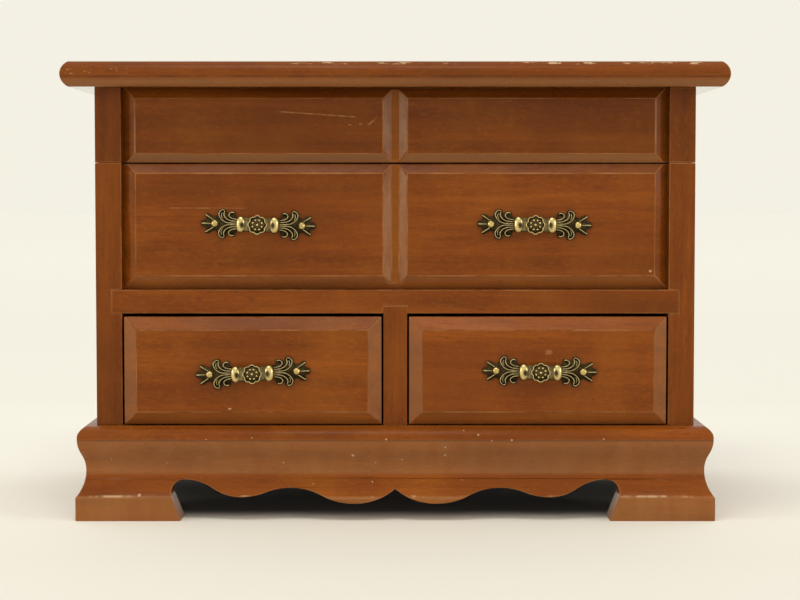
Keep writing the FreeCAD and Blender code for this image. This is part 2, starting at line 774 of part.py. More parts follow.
def hinge_seats(body_name, side):
    """Leaf mortises and screw holes in the back edge of the case or the lid."""
    inner, outer = leaf_faces(side)
    low, high = (outer, HINGE_Z) if side == "-" else (HINGE_Z, outer)
    tools = []
    for name, centre in hinge_places():
        half = "(Sizes.leaf_length / 2 + Sizes.pin_clearance)"
        front = f"({CASE_BACK} - Sizes.leaf_width - Sizes.pin_clearance)"
        tools.append(block(
            f"{name}_{body_name}_mortise",
            (f"({centre} - {half})", front, low),
            (f"({centre} + {half})", HINGE_Y, high),
        ))
        for number, (x, y) in enumerate(screw_places(centre), start=1):
            tools.append(upright_rod(
                f"{name}_{body_name}_pilot_{number}", "Sizes.screw_shank_radius + Sizes.pin_clearance",
                x, y, outer, "(Sizes.screw_length + Sizes.pin_clearance)", side,
            ))
    return tools


def hinge_leaf(name, centre, body_name, side, knuckles):
    """A flat leaf with its share of the barrel's knuckles, counted from the left."""
    inner, outer = leaf_faces(side)
    low, high = (outer, inner) if side == "-" else (inner, outer)
    left = f"({centre} - Sizes.leaf_length / 2)"
    pitch = "(Sizes.leaf_length / 3)"
    label = f"{name}_hinge_{body_name}_leaf"
    plate = block(
        f"{label}_plate",
        (left, f"({CASE_BACK} - Sizes.leaf_width)", low),
        (f"({left} + Sizes.leaf_length)", CASE_BACK, high),
    )
    pieces = [plate]
    for number in knuckles:
        start = f"({left} + {number} * {pitch} + Sizes.leaf_gap / 2)"
        end = f"({left} + {number + 1} * {pitch} - Sizes.leaf_gap / 2)"
        pieces.append(block(f"{label}_tab_{number}", (start, CASE_BACK, low), (end, HINGE_Y, high)))
        pieces.append(rod(
            f"{label}_knuckle_{number}", "Sizes.barrel_radius", f"{end} - {start}",
            start, HINGE_Y, HINGE_Z, ALONG_X,
        ))
    bore = rod(
        f"{label}_bore", "Sizes.hinge_pin_radius + Sizes.pin_clearance", "Sizes.leaf_length",
        left, HINGE_Y, HINGE_Z, ALONG_X,
    )
    holes = [
        upright_rod(f"{label}_hole_{number}", "Sizes.screw_head_radius + Sizes.pin_clearance",
                    x, y, inner, "Sizes.leaf_thickness", side)
        for number, (x, y) in enumerate(screw_places(centre), start=1)
    ]
    finish(cut(f"{label}_cut", fuse(f"{label}_blank", *pieces), bore, *holes), label)


def hinge_screws(body_name, side):
    """Flat-headed screws of both leaves of one body."""
    inner, outer = leaf_faces(side)
    screws = []
    for name, centre in hinge_places():
        for number, (x, y) in enumerate(screw_places(centre), start=1):
            label = f"{name}_{body_name}_screw_{number}"
            head = upright_rod(
                f"{label}_head", "Sizes.screw_head_radius", x, y, inner, "Sizes.leaf_thickness", side
            )
            shank = upright_rod(
                f"{label}_shank", "Sizes.screw_shank_radius", x, y, outer, "Sizes.screw_length", side
            )
            screws.append(fuse(label, head, shank))
    finish(group(f"{body_name}_screw_set", screws), f"hinge_{body_name}_screws")


def hinges():
    for name, centre in hinge_places():
        hinge_leaf(name, centre, "case", "-", (0, 2))
        hinge_leaf(name, centre, "lid", "+", (1,))
        finish(rod(
            f"{name}_pin_rod", "Sizes.hinge_pin_radius", "Sizes.leaf_length",
            f"({centre} - Sizes.leaf_length / 2)", HINGE_Y, HINGE_Z, ALONG_X,
        ), f"{name}_hinge_pin")
    hinge_screws("case", "-")
    hinge_screws("lid", "+")


# Lid stay: a slotted arm on a rivet in the lid, sliding on a stud in the case.
# Rivet and stud stand at the same distance from the hinge line, so the arm turns
# at half the lid's rate and the stud stays in the slot.
STAY_Y = f"({HINGE_Y} - Sizes.stay_reach * cos(Sizes.stay_rise_angle * 1deg))"
STAY_RISE = "(Sizes.stay_reach * sin(Sizes.stay_rise_angle * 1deg))"
STAY_OUTER = f"({INNER_RIGHT} - Sizes.stay_standoff)"
STAY_INNER = f"({STAY_OUTER} - Sizes.stay_thickness)"
SLOT_START = f"(2 * {STAY_RISE})"
SLOT_END = (
    "(2 * Sizes.stay_reach * sin((Sizes.stay_rise_angle + Sizes.lid_opening_angle / 2) * 1deg))"
)


def stay_z(side):
    """Level of the rivet (+) or the stud (-) with the lid shut."""
    return f"({HINGE_Z} {side} {STAY_RISE})"


def stay_hole(body_name, side):
    """Blind hole for the rivet or the stud in a side board's inner face."""
    return rod(
        f"stay_{body_name}_hole", "Sizes.stay_stud_radius + Sizes.pin_clearance",
        "Sizes.stay_bite + Sizes.pin_clearance", INNER_RIGHT, STAY_Y, stay_z(side), ALONG_X,
    )


def stay_pin(label, side):
    """Headed pin fixed in a side board, with the arm between its head and the board."""
    head_face = f"({STAY_INNER} - Sizes.fitting_gap)"
    shank = rod(
        f"{label}_shank", "Sizes.stay_stud_radius", f"{INNER_RIGHT} + Sizes.stay_bite - {head_face}",
        head_face, STAY_Y, stay_z(side), ALONG_X,
    )
    head = rod(
        f"{label}_head", "Sizes.stay_head_radius", "Sizes.stay_head_thickness",
        f"{head_face} - Sizes.stay_head_thickness", STAY_Y, stay_z(side), ALONG_X,
    )
    finish(fuse(f"{label}_fuse", shank, head), label)


def slot_outline(sketch, start, end, radius):
    """A round-ended slot that hangs down the sketch's y axis."""
    outline(sketch, [
        (f"-{radius}", end),
        ("0", f"({end} - {radius})", radius, 1),
        (radius, end, radius, 1),
        (radius, start),
        ("0", f"({start} + {radius})", radius, 1),
        (f"-{radius}", start, radius, 1),
    ])


def stay():
    body = doc.addObject("PartDesign::Body", "stay_arm_body")
    shape = body_sketch(body, "stay_arm_outline", "YZ_Plane")
    slot_outline(shape, "0", f"(-{SLOT_END})", "(Sizes.stay_width / 2)")
    pad = body.newObject("PartDesign::Pad", "stay_arm_pad")
    pad.Profile = shape
    bind(pad, Length="Sizes.stay_thickness")
    doc.recompute()
    slot = body_sketch(body, "stay_arm_slot", "YZ_Plane")
    slot_radius = "(Sizes.stay_stud_radius + 2 * Sizes.pin_clearance)"
    slot_outline(slot, f"(-{SLOT_START})", f"(-{SLOT_END})", slot_radius)
    pocket(body, slot, "stay_arm_slot_cut")
    doc.recompute()
    eye = body_sketch(body, "stay_arm_eye", "YZ_Plane")
    circle = eye.addGeometry(
        Part.Circle(FreeCAD.Vector(), Z_AXIS, value("Sizes.stay_stud_radius + Sizes.pin_clearance")), False
    )
    eye.addConstraint(Sketcher.Constraint("Coincident", circle, 3, -1, 1))
    radius = eye.addConstraint(
        Sketcher.Constraint("Radius", circle, value("Sizes.stay_stud_radius + Sizes.pin_clearance"))
    )
    eye.setExpression(f"Constraints[{radius}]", "Sizes.stay_stud_radius + Sizes.pin_clearance")
    pocket(body, eye, "stay_arm_eye_cut")
    bind(body, x=STAY_INNER, y=STAY_Y, z=stay_z("+"))
    finish(body, "stay_arm")
    stay_pin("stay_rivet", "+")
    stay_pin("stay_stud", "-")


# Pulls: cast brass with a leaf at each end, an arched bridge and a rosette
LEAF_LOBES = (
    # share along the leaf, share of its half height, arc radius as a share of the chord before it
    (0.27, 0.74, 0.53),
    (0.56, 0.68, 0.53),
    (0.85, 0.40, 0.58),
    (1.00, 0.00, 0.60),
)
LEAF_NECK_SHARE = 0.36
ROSETTE_LOBES = 8


def panel_pull_places():
    """Name, x, field face and height of the false front's two pulls."""
    x = f"(({INNER_RIGHT} - Sizes.panel_chamfer_width + Sizes.groove_width / 2) / 2)"
    low = f"({SHELF_TOP} + Sizes.panel_chamfer_width)"
    z = f"(({low} + {SEAM} - Sizes.seam_margin) / 2)"
    return (("left_panel", f"(-{x})", PANEL_FACE, z), ("right_panel", x, PANEL_FACE, z))


def leaf_outline(sketch, sign):
    """Outline of one leaf, lobed on both edges, from the bridge's foot to its tip."""
    start = "(Sizes.bridge_length / 2 - Sizes.bridge_strip)"
    length = f"(Sizes.pull_length / 2 - {start})"
    half = "(Sizes.pull_leaf_height / 2)"

    def at(along, up):
        return (f"({sign} * ({start} + {length} * {along}))", f"({half} * {up})")

    def arc_to(point, previous, share):
        return (*point, f"({share} * sqrt({square_distance(previous, point)}))", sign)

    upper = [at(0, LEAF_NECK_SHARE)] + [at(along, up) for along, up, share in LEAF_LOBES]
    lower = [at(0, -LEAF_NECK_SHARE)] + [at(along, -up) for along, up, share in LEAF_LOBES]
    shares = [share for along, up, share in LEAF_LOBES]
    corners = [lower[0]]
    corners += [arc_to(lower[i + 1], lower[i], shares[i]) for i in range(len(shares))]
    corners += [arc_to(upper[i], upper[i + 1], shares[i]) for i in reversed(range(len(shares)))]
    outline(sketch, corners)


def bridge_outline(sketch):
    """Plan of the arched strip between the two leaves, drawn outwards along -y."""
    half = "(Sizes.bridge_length / 2)"
    inner = f"({half} - Sizes.bridge_strip)"
    crown = "(Sizes.pull_plate + Sizes.bridge_projection)"
    soffit = f"({crown} - Sizes.bridge_strip)"
    bend = "Sizes.bridge_bend"
    inner_bend = "(Sizes.bridge_bend - Sizes.bridge_strip)"
    spring = f"({crown} - {bend})"
    outline(sketch, [
        (f"-{half}", "0"),
        (f"-{half}", f"-{spring}"),
        (f"(-{half} + {bend})", f"-{crown}", bend, 1),
        (f"({half} - {bend})", f"-{crown}"),
        (half, f"-{spring}", bend, 1),
        (half, "0"),
        (inner, "0"),
        (inner, f"-{spring}"),
        (f"({inner} - {inner_bend})", f"-{soffit}", inner_bend, -1),
        (f"(-{inner} + {inner_bend})", f"-{soffit}"),
        (f"-{inner}", f"-{spring}", inner_bend, -1),
        (f"-{inner}", "0"),
    ])


def nail_holes(name, x, face, z):
    """Blind holes behind a pull for its two nails."""
    return [
        rod(
            f"{name}_{side}_nail_hole", "Sizes.nail_shank / 2 + Sizes.nail_clearance",
            "Sizes.nail_length + Sizes.nail_clearance",
            f"({x} {sign} Sizes.nail_spacing / 2)", face, z, FreeCAD.Rotation(X_AXIS, -90),
        )
        for side, sign in (("left", "-"), ("right", "+"))
    ]


def pull(name, x, face, z):
    plate = doc.addObject("PartDesign::Body", f"{name}_plate")
    leaves = body_sketch(plate, f"{name}_leaves", "XZ_Plane")
    leaf_outline(leaves, 1)
    leaf_outline(leaves, -1)
    pad = plate.newObject("PartDesign::Pad", f"{name}_leaf_pad")
    pad.Profile = leaves
    pad.AllowMultiFace = True
    bind(pad, Length="Sizes.pull_plate")
    plate.AllowCompound = True
    bridge = doc.addObject("PartDesign::Body", f"{name}_bridge")
    arch = body_sketch(bridge, f"{name}_arch", "XY_Plane")
    bridge_outline(arch)
    pad = bridge.newObject("PartDesign::Pad", f"{name}_arch_pad")
    pad.Profile = arch
    pad.SideType = "Symmetric"
    bind(pad, Length="Sizes.bridge_height")
    crown = "(Sizes.pull_plate + Sizes.bridge_projection)"
    pieces = [plate, bridge]
    for side, sign in (("left", "-"), ("right", "+")):
        pieces.append(rod(
            f"{name}_{side}_knuckle", "Sizes.knuckle_radius", "Sizes.knuckle_height",
            f"{sign}(Sizes.bridge_length / 2 - Sizes.knuckle_inset)", f"-({crown} - Sizes.knuckle_inset)",
            "-Sizes.knuckle_height / 2",
        ))
    petal = "(Sizes.rosette_diameter * 0.17)"
    front = f"-({crown} - Sizes.bridge_strip / 2)"
    thickness = "Sizes.rosette_thickness + Sizes.bridge_strip / 2"
    disc_radius = f"Sizes.rosette_diameter / 2 - {petal}"
    pieces.append(rod(f"{name}_rosette_disc", disc_radius, thickness, "0", front, "0", OUT_OF_FRONT))
    for number in range(ROSETTE_LOBES):
        turn = f"({number} * 360deg / {ROSETTE_LOBES})"
        pieces.append(rod(
            f"{name}_petal_{number}", petal, thickness,
            f"({disc_radius}) * cos({turn})", front, f"({disc_radius}) * sin({turn})", OUT_OF_FRONT,
        ))
    casting = fuse(f"{name}_casting", *pieces)
    holes = [
        rod(
            f"{name}_{side}_eye", "Sizes.nail_shank / 2 + Sizes.nail_clearance", "Sizes.pull_plate",
            f"{sign}Sizes.nail_spacing / 2", "0", "0", OUT_OF_FRONT,
        )
        for side, sign in (("left", "-"), ("right", "+"))
    ]
    feature = cut(f"{name}_pull_cut", casting, *holes)
    bind(feature, x=x, y=face, z=z)
    finish(feature, f"{name}_pull")


def nails(name, x, face, z):
    """The two nails that hold a pull, with coned heads."""
    pair = []
    for side, sign in (("left", "-"), ("right", "+")):
        place = f"({x} {sign} Sizes.nail_spacing / 2)"
        seat = f"({face} - Sizes.pull_plate)"
        shank = rod(
            f"{name}_{side}_shank", "Sizes.nail_shank / 2", "Sizes.pull_plate + Sizes.nail_length",
            place, seat, z, FreeCAD.Rotation(X_AXIS, -90),
        )
        head = doc.addObject("Part::Cone", f"{name}_{side}_head")
        head.Placement = FreeCAD.Placement(FreeCAD.Vector(), OUT_OF_FRONT)
        bind(
            head, Radius1="Sizes.nail_head / 2", Radius2="Sizes.nail_head * 0.3", Height="Sizes.nail_dome",
            x=place, y=seat, z=z,
        )
        pair.append(fuse(f"{name}_{side}_nail", shank, head))
    return pair


def panel_pulls():
    pairs = []
    for place in panel_pull_places():
        pull(*place)
        pairs += nails(*place)
    finish(group("panel_nail_set", pairs), "panel_pull_nails")


# Drawers: fielded front, grooved sides, back over a slid-in bottom, felt floor
def drawer(side, sign):
    name = f"{side}_drawer"
    opening = f"({INNER_RIGHT} - Sizes.divider_thickness / 2)"
    middle = f"({sign} * (Sizes.divider_thickness / 2 + {opening} / 2))"
    half = f"({opening} / 2 - Sizes.drawer_side_gap)"
    left, right = f"({middle} - {half})", f"({middle} + {half})"
    bottom = "(Sizes.base_height + Sizes.drawer_bottom_gap)"
    front_top = f"({SHELF_BOTTOM} - Sizes.drawer_top_gap)"
    face = f"({CASE_FRONT} - Sizes.drawer_proud)"
    front_back = f"({face} + Sizes.drawer_front_thickness)"
    rear = f"({BACK_INNER} - Sizes.drawer_rear_gap)"
    box_top = f"({bottom} + Sizes.drawer_box_height)"
    left_inner = f"({left} + Sizes.drawer_board)"
    right_inner = f"({right} - Sizes.drawer_board)"
    panel_low = f"({bottom} + Sizes.drawer_bottom_raise)"
    panel_high = f"({panel_low} + Sizes.drawer_bottom_board)"
    panel_corners = (
        (f"({left_inner} - Sizes.drawer_groove)", f"({front_back} - Sizes.drawer_groove)", panel_low),
        (f"({right_inner} + Sizes.drawer_groove)", rear, panel_high),
    )

    def groove(board):
        return block(f"{name}_{board}_groove", *panel_corners)

    place = (name, middle, face, f"(({bottom} + {front_top}) / 2)")
    blank = fielded_board(
        f"{name}_front", (left, right), (bottom, front_top), face, "Sizes.drawer_front_thickness",
        ("Sizes.drawer_chamfer_width", "Sizes.drawer_chamfer_depth"),
    )
    finish(cut(f"{name}_front_cut", blank, groove("front"), *nail_holes(*place)), f"{name}_front")
    board = block(f"{name}_left_board", (left, front_back, bottom), (left_inner, rear, box_top))
    finish(cut(f"{name}_left_cut", board, groove("left")), f"{name}_left_side")
    board = block(f"{name}_right_board", (right_inner, front_back, bottom), (right, rear, box_top))
    finish(cut(f"{name}_right_cut", board, groove("right")), f"{name}_right_side")
    back_inner = f"({rear} - Sizes.drawer_board)"
    finish(block(
        f"{name}_back_board", (left_inner, back_inner, panel_high), (right_inner, rear, box_top)
    ), f"{name}_back")
    finish(block(f"{name}_bottom_panel", *panel_corners), f"{name}_bottom")
    finish(block(
        f"{name}_lining_sheet", (left_inner, front_back, panel_high),
        (right_inner, back_inner, f"({panel_high} + Sizes.lining_thickness)"),
    ), f"{name}_lining")
    pull(*place)
    finish(group(f"{name}_nail_set", nails(*place)), f"{name}_nails")


def export():
    """Check every feature, then write one file for each sub-part."""
    doc.recompute()
    for feature in doc.Objects:
        if any(state in ("Invalid", "Error") for state in feature.State):
            raise RuntimeError(f"{feature.Label} failed: {feature.State}")
    os.makedirs("parts", exist_ok=True)
    for feature in sub_parts:
        shape = feature.Shape
        if shape.isNull() or not shape.isValid() or not shape.Solids:
            raise RuntimeError(f"{feature.Label} has no valid solid")
        shape.exportStep(f"parts/{feature.Label}.step")


base()
case()
compartment()
lid()
hinges()
stay()
panel_pulls()
drawer("left", -1)
drawer("right", 1)
export()
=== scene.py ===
import math
import random

import bmesh
import bpy
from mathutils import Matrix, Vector


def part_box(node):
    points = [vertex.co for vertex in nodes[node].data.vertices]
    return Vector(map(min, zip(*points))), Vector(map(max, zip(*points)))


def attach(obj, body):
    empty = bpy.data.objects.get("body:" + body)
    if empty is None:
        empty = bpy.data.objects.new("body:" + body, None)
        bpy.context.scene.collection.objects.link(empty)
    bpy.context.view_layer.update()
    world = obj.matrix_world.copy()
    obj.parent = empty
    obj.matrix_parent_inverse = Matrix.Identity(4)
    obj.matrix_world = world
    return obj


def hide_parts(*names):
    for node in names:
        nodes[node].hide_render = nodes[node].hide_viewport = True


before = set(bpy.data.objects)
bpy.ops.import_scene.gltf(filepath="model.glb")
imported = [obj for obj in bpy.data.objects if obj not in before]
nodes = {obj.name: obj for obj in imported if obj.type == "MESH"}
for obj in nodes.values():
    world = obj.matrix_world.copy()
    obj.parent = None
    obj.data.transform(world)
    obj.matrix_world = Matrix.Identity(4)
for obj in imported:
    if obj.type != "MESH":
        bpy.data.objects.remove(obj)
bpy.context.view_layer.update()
# What shows each node: the CAD's own object, or the piece that stands for it
shown = dict(nodes)
scene = bpy.context.scene

MM = 0.001


# Camera at the photograph's place: below the top of the box, and tipped down a little
FOCAL_PIXELS = 2045
IMAGE_WIDTH = 800
SENSOR_WIDTH = 36.0
CAMERA_DISTANCE = 0.945
CAMERA_HEIGHT = 0.1525
CAMERA_SIDE = 0.0022
CAMERA_PITCH = math.radians(3.08)


def make_camera():
    case_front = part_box("left_side")[0].y
    data = bpy.data.cameras.new("photo_camera")
    data.sensor_width = SENSOR_WIDTH
    data.lens = FOCAL_PIXELS / IMAGE_WIDTH * SENSOR_WIDTH
    data.clip_end = 50
    camera = bpy.data.objects.new("photo_camera", data)
    camera.location = (CAMERA_SIDE, case_front - CAMERA_DISTANCE, CAMERA_HEIGHT)
    camera.rotation_euler = (math.pi / 2 - CAMERA_PITCH, 0, 0)
    scene.collection.objects.link(camera)
    scene.camera = camera


# Light: a pale even surround, with a soft box overhead and one at each side
SURROUND = (0.905, 0.880, 0.775, 1)
SURROUND_LIT = (1.0, 0.985, 0.95, 1)
SURROUND_LIGHT = 0.93
LAMP_COLOUR = (1.0, 0.94, 0.82)
LAMP_AIM = (0, -0.05, 0.1)
# Each lamp's name, place, size and power
LAMPS = (
    ("overhead", (-0.1, -0.50, 1.2), (0.7, 0.30), 3.6),
    ("left_side", (-2.6, -1.3, 0.65), (0.45, 1.0), 16),
    ("right_side", (2.6, -1.3, 0.65), (0.45, 1.0), 16),
)


def area_light(name, place, size, power):
    data = bpy.data.lights.new(name, "AREA")
    data.shape = "RECTANGLE"
    data.size, data.size_y = size
    data.energy = power
    data.color = LAMP_COLOUR
    lamp = bpy.data.objects.new(name, data)
    lamp.location = place
    lamp.rotation_euler = (Vector(LAMP_AIM) - Vector(place)).to_track_quat("-Z", "Y").to_euler()
    scene.collection.objects.link(lamp)


def make_light():
    world = bpy.data.worlds.new("surround")
    scene.world = world
    world.use_nodes = True
    tree = world.node_tree
    tree.nodes.clear()
    output = tree.nodes.new("ShaderNodeOutputWorld")
    path = tree.nodes.new("ShaderNodeLightPath")

    def background(colour, strength):
        made = tree.nodes.new("ShaderNodeBackground")
        made.inputs["Color"].default_value = colour
        made.inputs["Strength"].default_value = strength
        return made.outputs["Background"]

    lit = background(SURROUND_LIT, SURROUND_LIGHT)
    seen = background(SURROUND, 1.0)
    mix = tree.nodes.new("ShaderNodeMixShader")
    tree.links.new(path.outputs["Is Camera Ray"], mix.inputs["Fac"])
    tree.links.new(lit, mix.inputs[1])
    tree.links.new(seen, mix.inputs[2])
    tree.links.new(mix.outputs["Shader"], output.inputs["Surface"])
    for lamp in LAMPS:
        area_light(*lamp)


FLOOR_HALF = 12.0
FLOOR_HUE = (1.0, 0.982, 0.886)
# The floor's painted light and shade by depth, in metres behind the middle of the box: darker near the box,
# lighter far off
FLOOR_PAINTED_SHADING = (
    (-1.5, 0.95), (-0.6, 0.86), (-0.32, 0.755), (-0.18, 0.80), (-0.107, 0.86), (0.05, 0.93),
    (0.225, 0.884), (0.46, 0.853), (0.81, 0.884), (1.8, 0.944), (3.2, 0.986),
)
# A painted shadow on the floor under the box: its tone, and how far it keeps inside the base
FLOOR_PAINTED_SHADOW = (0.10, 0.095, 0.085, 1)
SHADOW_INSET_SIDES = 0.012
SHADOW_INSET_FRONT = 0.035
SHADOW_INSET_BACK = 0.012


def floor_shading_stops():
    """The floor's painted light and shade as stops of a ramp."""
    nearest, farthest = FLOOR_PAINTED_SHADING[0][0], FLOOR_PAINTED_SHADING[-1][0]
    stops = []
    for depth, lightness in FLOOR_PAINTED_SHADING:
        colour = tuple(lightness * channel for channel in FLOOR_HUE) + (1,)
        stops.append(((depth - nearest) / (farthest - nearest), colour))
    return stops


def floor_material():
    """A pale ground with painted light and shade by depth, and a painted shadow under the box."""
    graph = Graph("studio_floor")
    x, y, z = graph.place()
    stops = floor_shading_stops()
    # Painted light and shade: the floor's colour is darker near the box and lighter far off
    tone = graph.ramp(graph.fade(y, FLOOR_PAINTED_SHADING[0][0], FLOOR_PAINTED_SHADING[-1][0], "LINEAR"), stops)
    cloud = graph.noise(graph.coordinate(), 6, 3)
    tone = graph.mix(graph.ramp(cloud, [(0.3, 0.02), (0.7, 0.0)]), tone, stops[2][1])
    low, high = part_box("base_front")
    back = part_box("base_back")[1].y
    # Painted shadow: the floor is darkened inside the base's footprint
    under = graph.math("MULTIPLY", graph.band(x, low.x + SHADOW_INSET_SIDES, high.x - SHADOW_INSET_SIDES, 0.010),
                       graph.band(y, low.y + SHADOW_INSET_FRONT, back - SHADOW_INSET_BACK, 0.022))
    tone = graph.mix(graph.math("MULTIPLY", under, 0.85), tone, FLOOR_PAINTED_SHADOW)
    graph.shader("Base Color", tone)
    graph.shader("Roughness", 0.8)
    graph.shader("Specular IOR Level", 0.05)
    return graph.material


def make_floor():
    half = FLOOR_HALF
    mesh = bpy.data.meshes.new("floor")
    corners = [(-half, -half, 0), (half, -half, 0), (half, half, 0), (-half, half, 0)]
    mesh.from_pydata(corners, [], [(0, 1, 2, 3)])
    floor = bpy.data.objects.new("floor", mesh)
    scene.collection.objects.link(floor)
    mesh.materials.append(floor_material())


# Node graphs
class Graph:
    """A material's node tree, with short calls for the nodes used here."""

    def __init__(self, name):
        self.material = bpy.data.materials.new(name)
        self.material.use_nodes = True
        self.tree = self.material.node_tree
        self.principled = self.tree.nodes["Principled BSDF"]

    def node(self, kind, **settings):
        made = self.tree.nodes.new(kind)
        for name, setting in settings.items():
            setattr(made, name, setting)
        return made

    def feed(self, socket, source):
        if isinstance(source, bpy.types.NodeSocket):
            self.tree.links.new(source, socket)
        else:
            socket.default_value = source

    def shader(self, socket, source):
        self.feed(self.principled.inputs[socket], source)

    def place(self):
        """Object coordinates as x, y and z."""
        return self.axes(self.node("ShaderNodeTexCoord").outputs["Object"])

    def facing(self):
        """The surface's normal as x, y and z."""
        return self.axes(self.node("ShaderNodeNewGeometry").outputs["True Normal"])

    def coordinate(self, scale=(1, 1, 1), offset=(0, 0, 0)):
        place = self.node("ShaderNodeTexCoord").outputs["Object"]
        mapping = self.node("ShaderNodeMapping")
        mapping.inputs["Scale"].default_value = scale
        mapping.inputs["Location"].default_value = offset
        self.feed(mapping.inputs["Vector"], place)
        return mapping.outputs["Vector"]

    def noise(self, vector, scale, detail=2.0, roughness=0.5, distortion=0.0):
        made = self.node("ShaderNodeTexNoise")
        self.feed(made.inputs["Vector"], vector)
        made.inputs["Scale"].default_value = scale
        made.inputs["Detail"].default_value = detail
        made.inputs["Roughness"].default_value = roughness
        made.inputs["Distortion"].default_value = distortion
        return made.outputs["Fac"]

    def ramp(self, source, stops):
        made = self.node("ShaderNodeValToRGB")
        self.feed(made.inputs["Fac"], source)
        elements = made.color_ramp.elements
        while len(elements) < len(stops):
            elements.new(0.5)
        for element, (place, colour) in zip(elements, stops):
            element.position = place
            element.color = colour if isinstance(colour, tuple) else (colour, colour, colour, 1)
        return made.outputs["Color"]

    def mix(self, factor, first, second):
        made = self.node("ShaderNodeMix", data_type="RGBA")
        self.feed(made.inputs["Factor"], factor)
        self.feed(made.inputs["A"], first)
        self.feed(made.inputs["B"], second)
        return made.outputs["Result"]

    def math(self, operation, first, second=0.0, clamp=False):
        made = self.node("ShaderNodeMath", operation=operation, use_clamp=clamp)
        self.feed(made.inputs[0], first)
        self.feed(made.inputs[1], second)
        return made.outputs["Value"]

    def axes(self, vector):
        made = self.node("ShaderNodeSeparateXYZ")
        self.feed(made.inputs["Vector"], vector)
        return made.outputs["X"], made.outputs["Y"], made.outputs["Z"]

    def fade(self, source, start, end, kind="SMOOTHSTEP"):
        """0 up to the start, and 1 from the end on."""
        made = self.node("ShaderNodeMapRange", interpolation_type=kind)
        self.feed(made.inputs["Value"], source)
        made.inputs["From Min"].default_value = start
        made.inputs["From Max"].default_value = end
        return made.outputs["Result"]

    def band(self, source, low, high, soft):
        """1 between two limits, falling off over a soft width."""
        rise = self.fade(source, low - soft, low)
        fall = self.fade(source, high, high + soft)
        return self.math("SUBTRACT", rise, fall, clamp=True)

    def bump(self, height, strength, distance):
        made = self.node("ShaderNodeBump")
        made.inputs["Strength"].default_value = strength
        made.inputs["Distance"].default_value = distance
        self.feed(made.inputs["Height"], height)
        self.shader("Normal", made.outputs["Normal"])

    def attribute(self, name):
        return self.node("ShaderNodeAttribute", attribute_name=name).outputs["Fac"]


# Wood
WOOD_DARK = (0.126, 0.0295, 0.0028, 1)
WOOD_MID = (0.190, 0.0445, 0.0036, 1)
WOOD_LIGHT = (0.252, 0.0630, 0.0054, 1)
WOOD_GOLD = (0.268, 0.0810, 0.0072, 1)
WOOD_PORE = (0.085, 0.0250, 0.0070, 1)
WOOD_WORN = (0.330, 0.1450, 0.0480, 1)
WOOD_BARE = (0.600, 0.4200, 0.2300, 1)
# The next tone is painted sheen and reflection, laid on slopes, not a colour of the wood
PAINTED_SHEEN = (0.378, 0.2080, 0.0940, 1)
# The next tone serves both as dirt and as painted shade
GRIME_AND_SHADE = (0.060, 0.0180, 0.0050, 1)
PALE_DARK = (0.360, 0.2050, 0.0950, 1)
PALE_LIGHT = (0.520, 0.3300, 0.1650, 1)
GRAIN_STRETCH = 0.055
GRAIN_AXES = {"X": 0, "Y": 1, "Z": 2}


def grain_scale(axis, along=GRAIN_STRETCH):
    scale = [1.0, 1.0, 1.0]
    scale[GRAIN_AXES[axis]] = along
    return tuple(scale)


# How light each board took the stain, where it differs from the others
STAIN = {
    "lid_front": 0.84, "lid_left_side": 0.82, "lid_right_side": 0.87, "left_side": 0.84, "right_side": 0.88,
    "shelf": 1.05, "left_drawer_front": 1.12, "right_drawer_front": 1.18,
    "base_front": 1.16, "base_left": 1.16, "base_right": 1.16, "top_board": 0.93,
    # base_back, bottom_board and corner_blocks are set darker as painted shade, for the dark gap under the
    # apron
    "base_back": 0.7, "bottom_board": 0.5, "corner_blocks": 0.5, "case_back": 0.9,
}


def stained_wood(name, axis, seed, light=1.0):
    """Varnished, stained close-grained wood whose grain runs along an axis."""
    dark, middle, pale, gold = (
        tuple(light * channel for channel in colour[:3]) + (1,)
        for colour in (WOOD_DARK, WOOD_MID, WOOD_LIGHT, WOOD_GOLD)
    )
    graph = Graph(name)
    draw = random.Random(seed)
    offset = tuple(draw.uniform(-3, 3) for _ in range(3))
    along = graph.coordinate(grain_scale(axis), offset)
    plain = graph.coordinate((1, 1, 1), offset)
    figure = graph.noise(along, 60, 4, 0.6, 0.5)
    colour = graph.ramp(figure, [(0.36, dark), (0.5, middle), (0.65, pale)])
    fine = graph.noise(along, 480, 3, 0.65)
    colour = graph.mix(graph.ramp(fine, [(0.38, 0.45), (0.60, 0.0)]), colour, dark)
    ticks = graph.noise(graph.coordinate(grain_scale(axis, 0.12), offset), 1300, 2, 0.6)
    colour = graph.mix(graph.ramp(ticks, [(0.30, 0.55), (0.42, 0.0)]), colour, WOOD_PORE)
    fleck = graph.noise(graph.coordinate(grain_scale(axis, 0.4), offset), 900, 2, 0.6)
    colour = graph.mix(graph.ramp(fleck, [(0.52, 0.0), (0.72, 0.34)]), colour, gold)
    blotch = graph.noise(plain, 30, 4, 0.6)
    colour = graph.mix(graph.ramp(blotch, [(0.45, 0.0), (0.75, 0.45)]), colour, gold)
    shade = graph.noise(graph.coordinate((1, 1, 1), offset[::-1]), 12, 3, 0.55)
    colour = graph.mix(graph.ramp(shade, [(0.34, 0.45), (0.56, 0.0)]), colour, dark)
    graph.shader("Base Color", colour)
    handling = graph.noise(plain, 70, 4, 0.6)
    graph.shader("Roughness", graph.ramp(handling, [(0.3, 0.24), (0.7, 0.36)]))
    graph.shader("Specular IOR Level", 0.12)
    graph.bump(graph.math("ADD", graph.math("MULTIPLY", ticks, 0.6), fine), 0.08, 0.0003)
    graph.colour = colour
    return graph


def add_tone(graph, mask, tone, share=None):
    """Lay another tone over a material's colour where the mask is 1, wholly or by a share."""
    if share is not None:
        mask = graph.math("MULTIPLY", mask, share)
    graph.colour = graph.mix(mask, graph.colour, tone)
    graph.shader("Base Color", graph.colour)


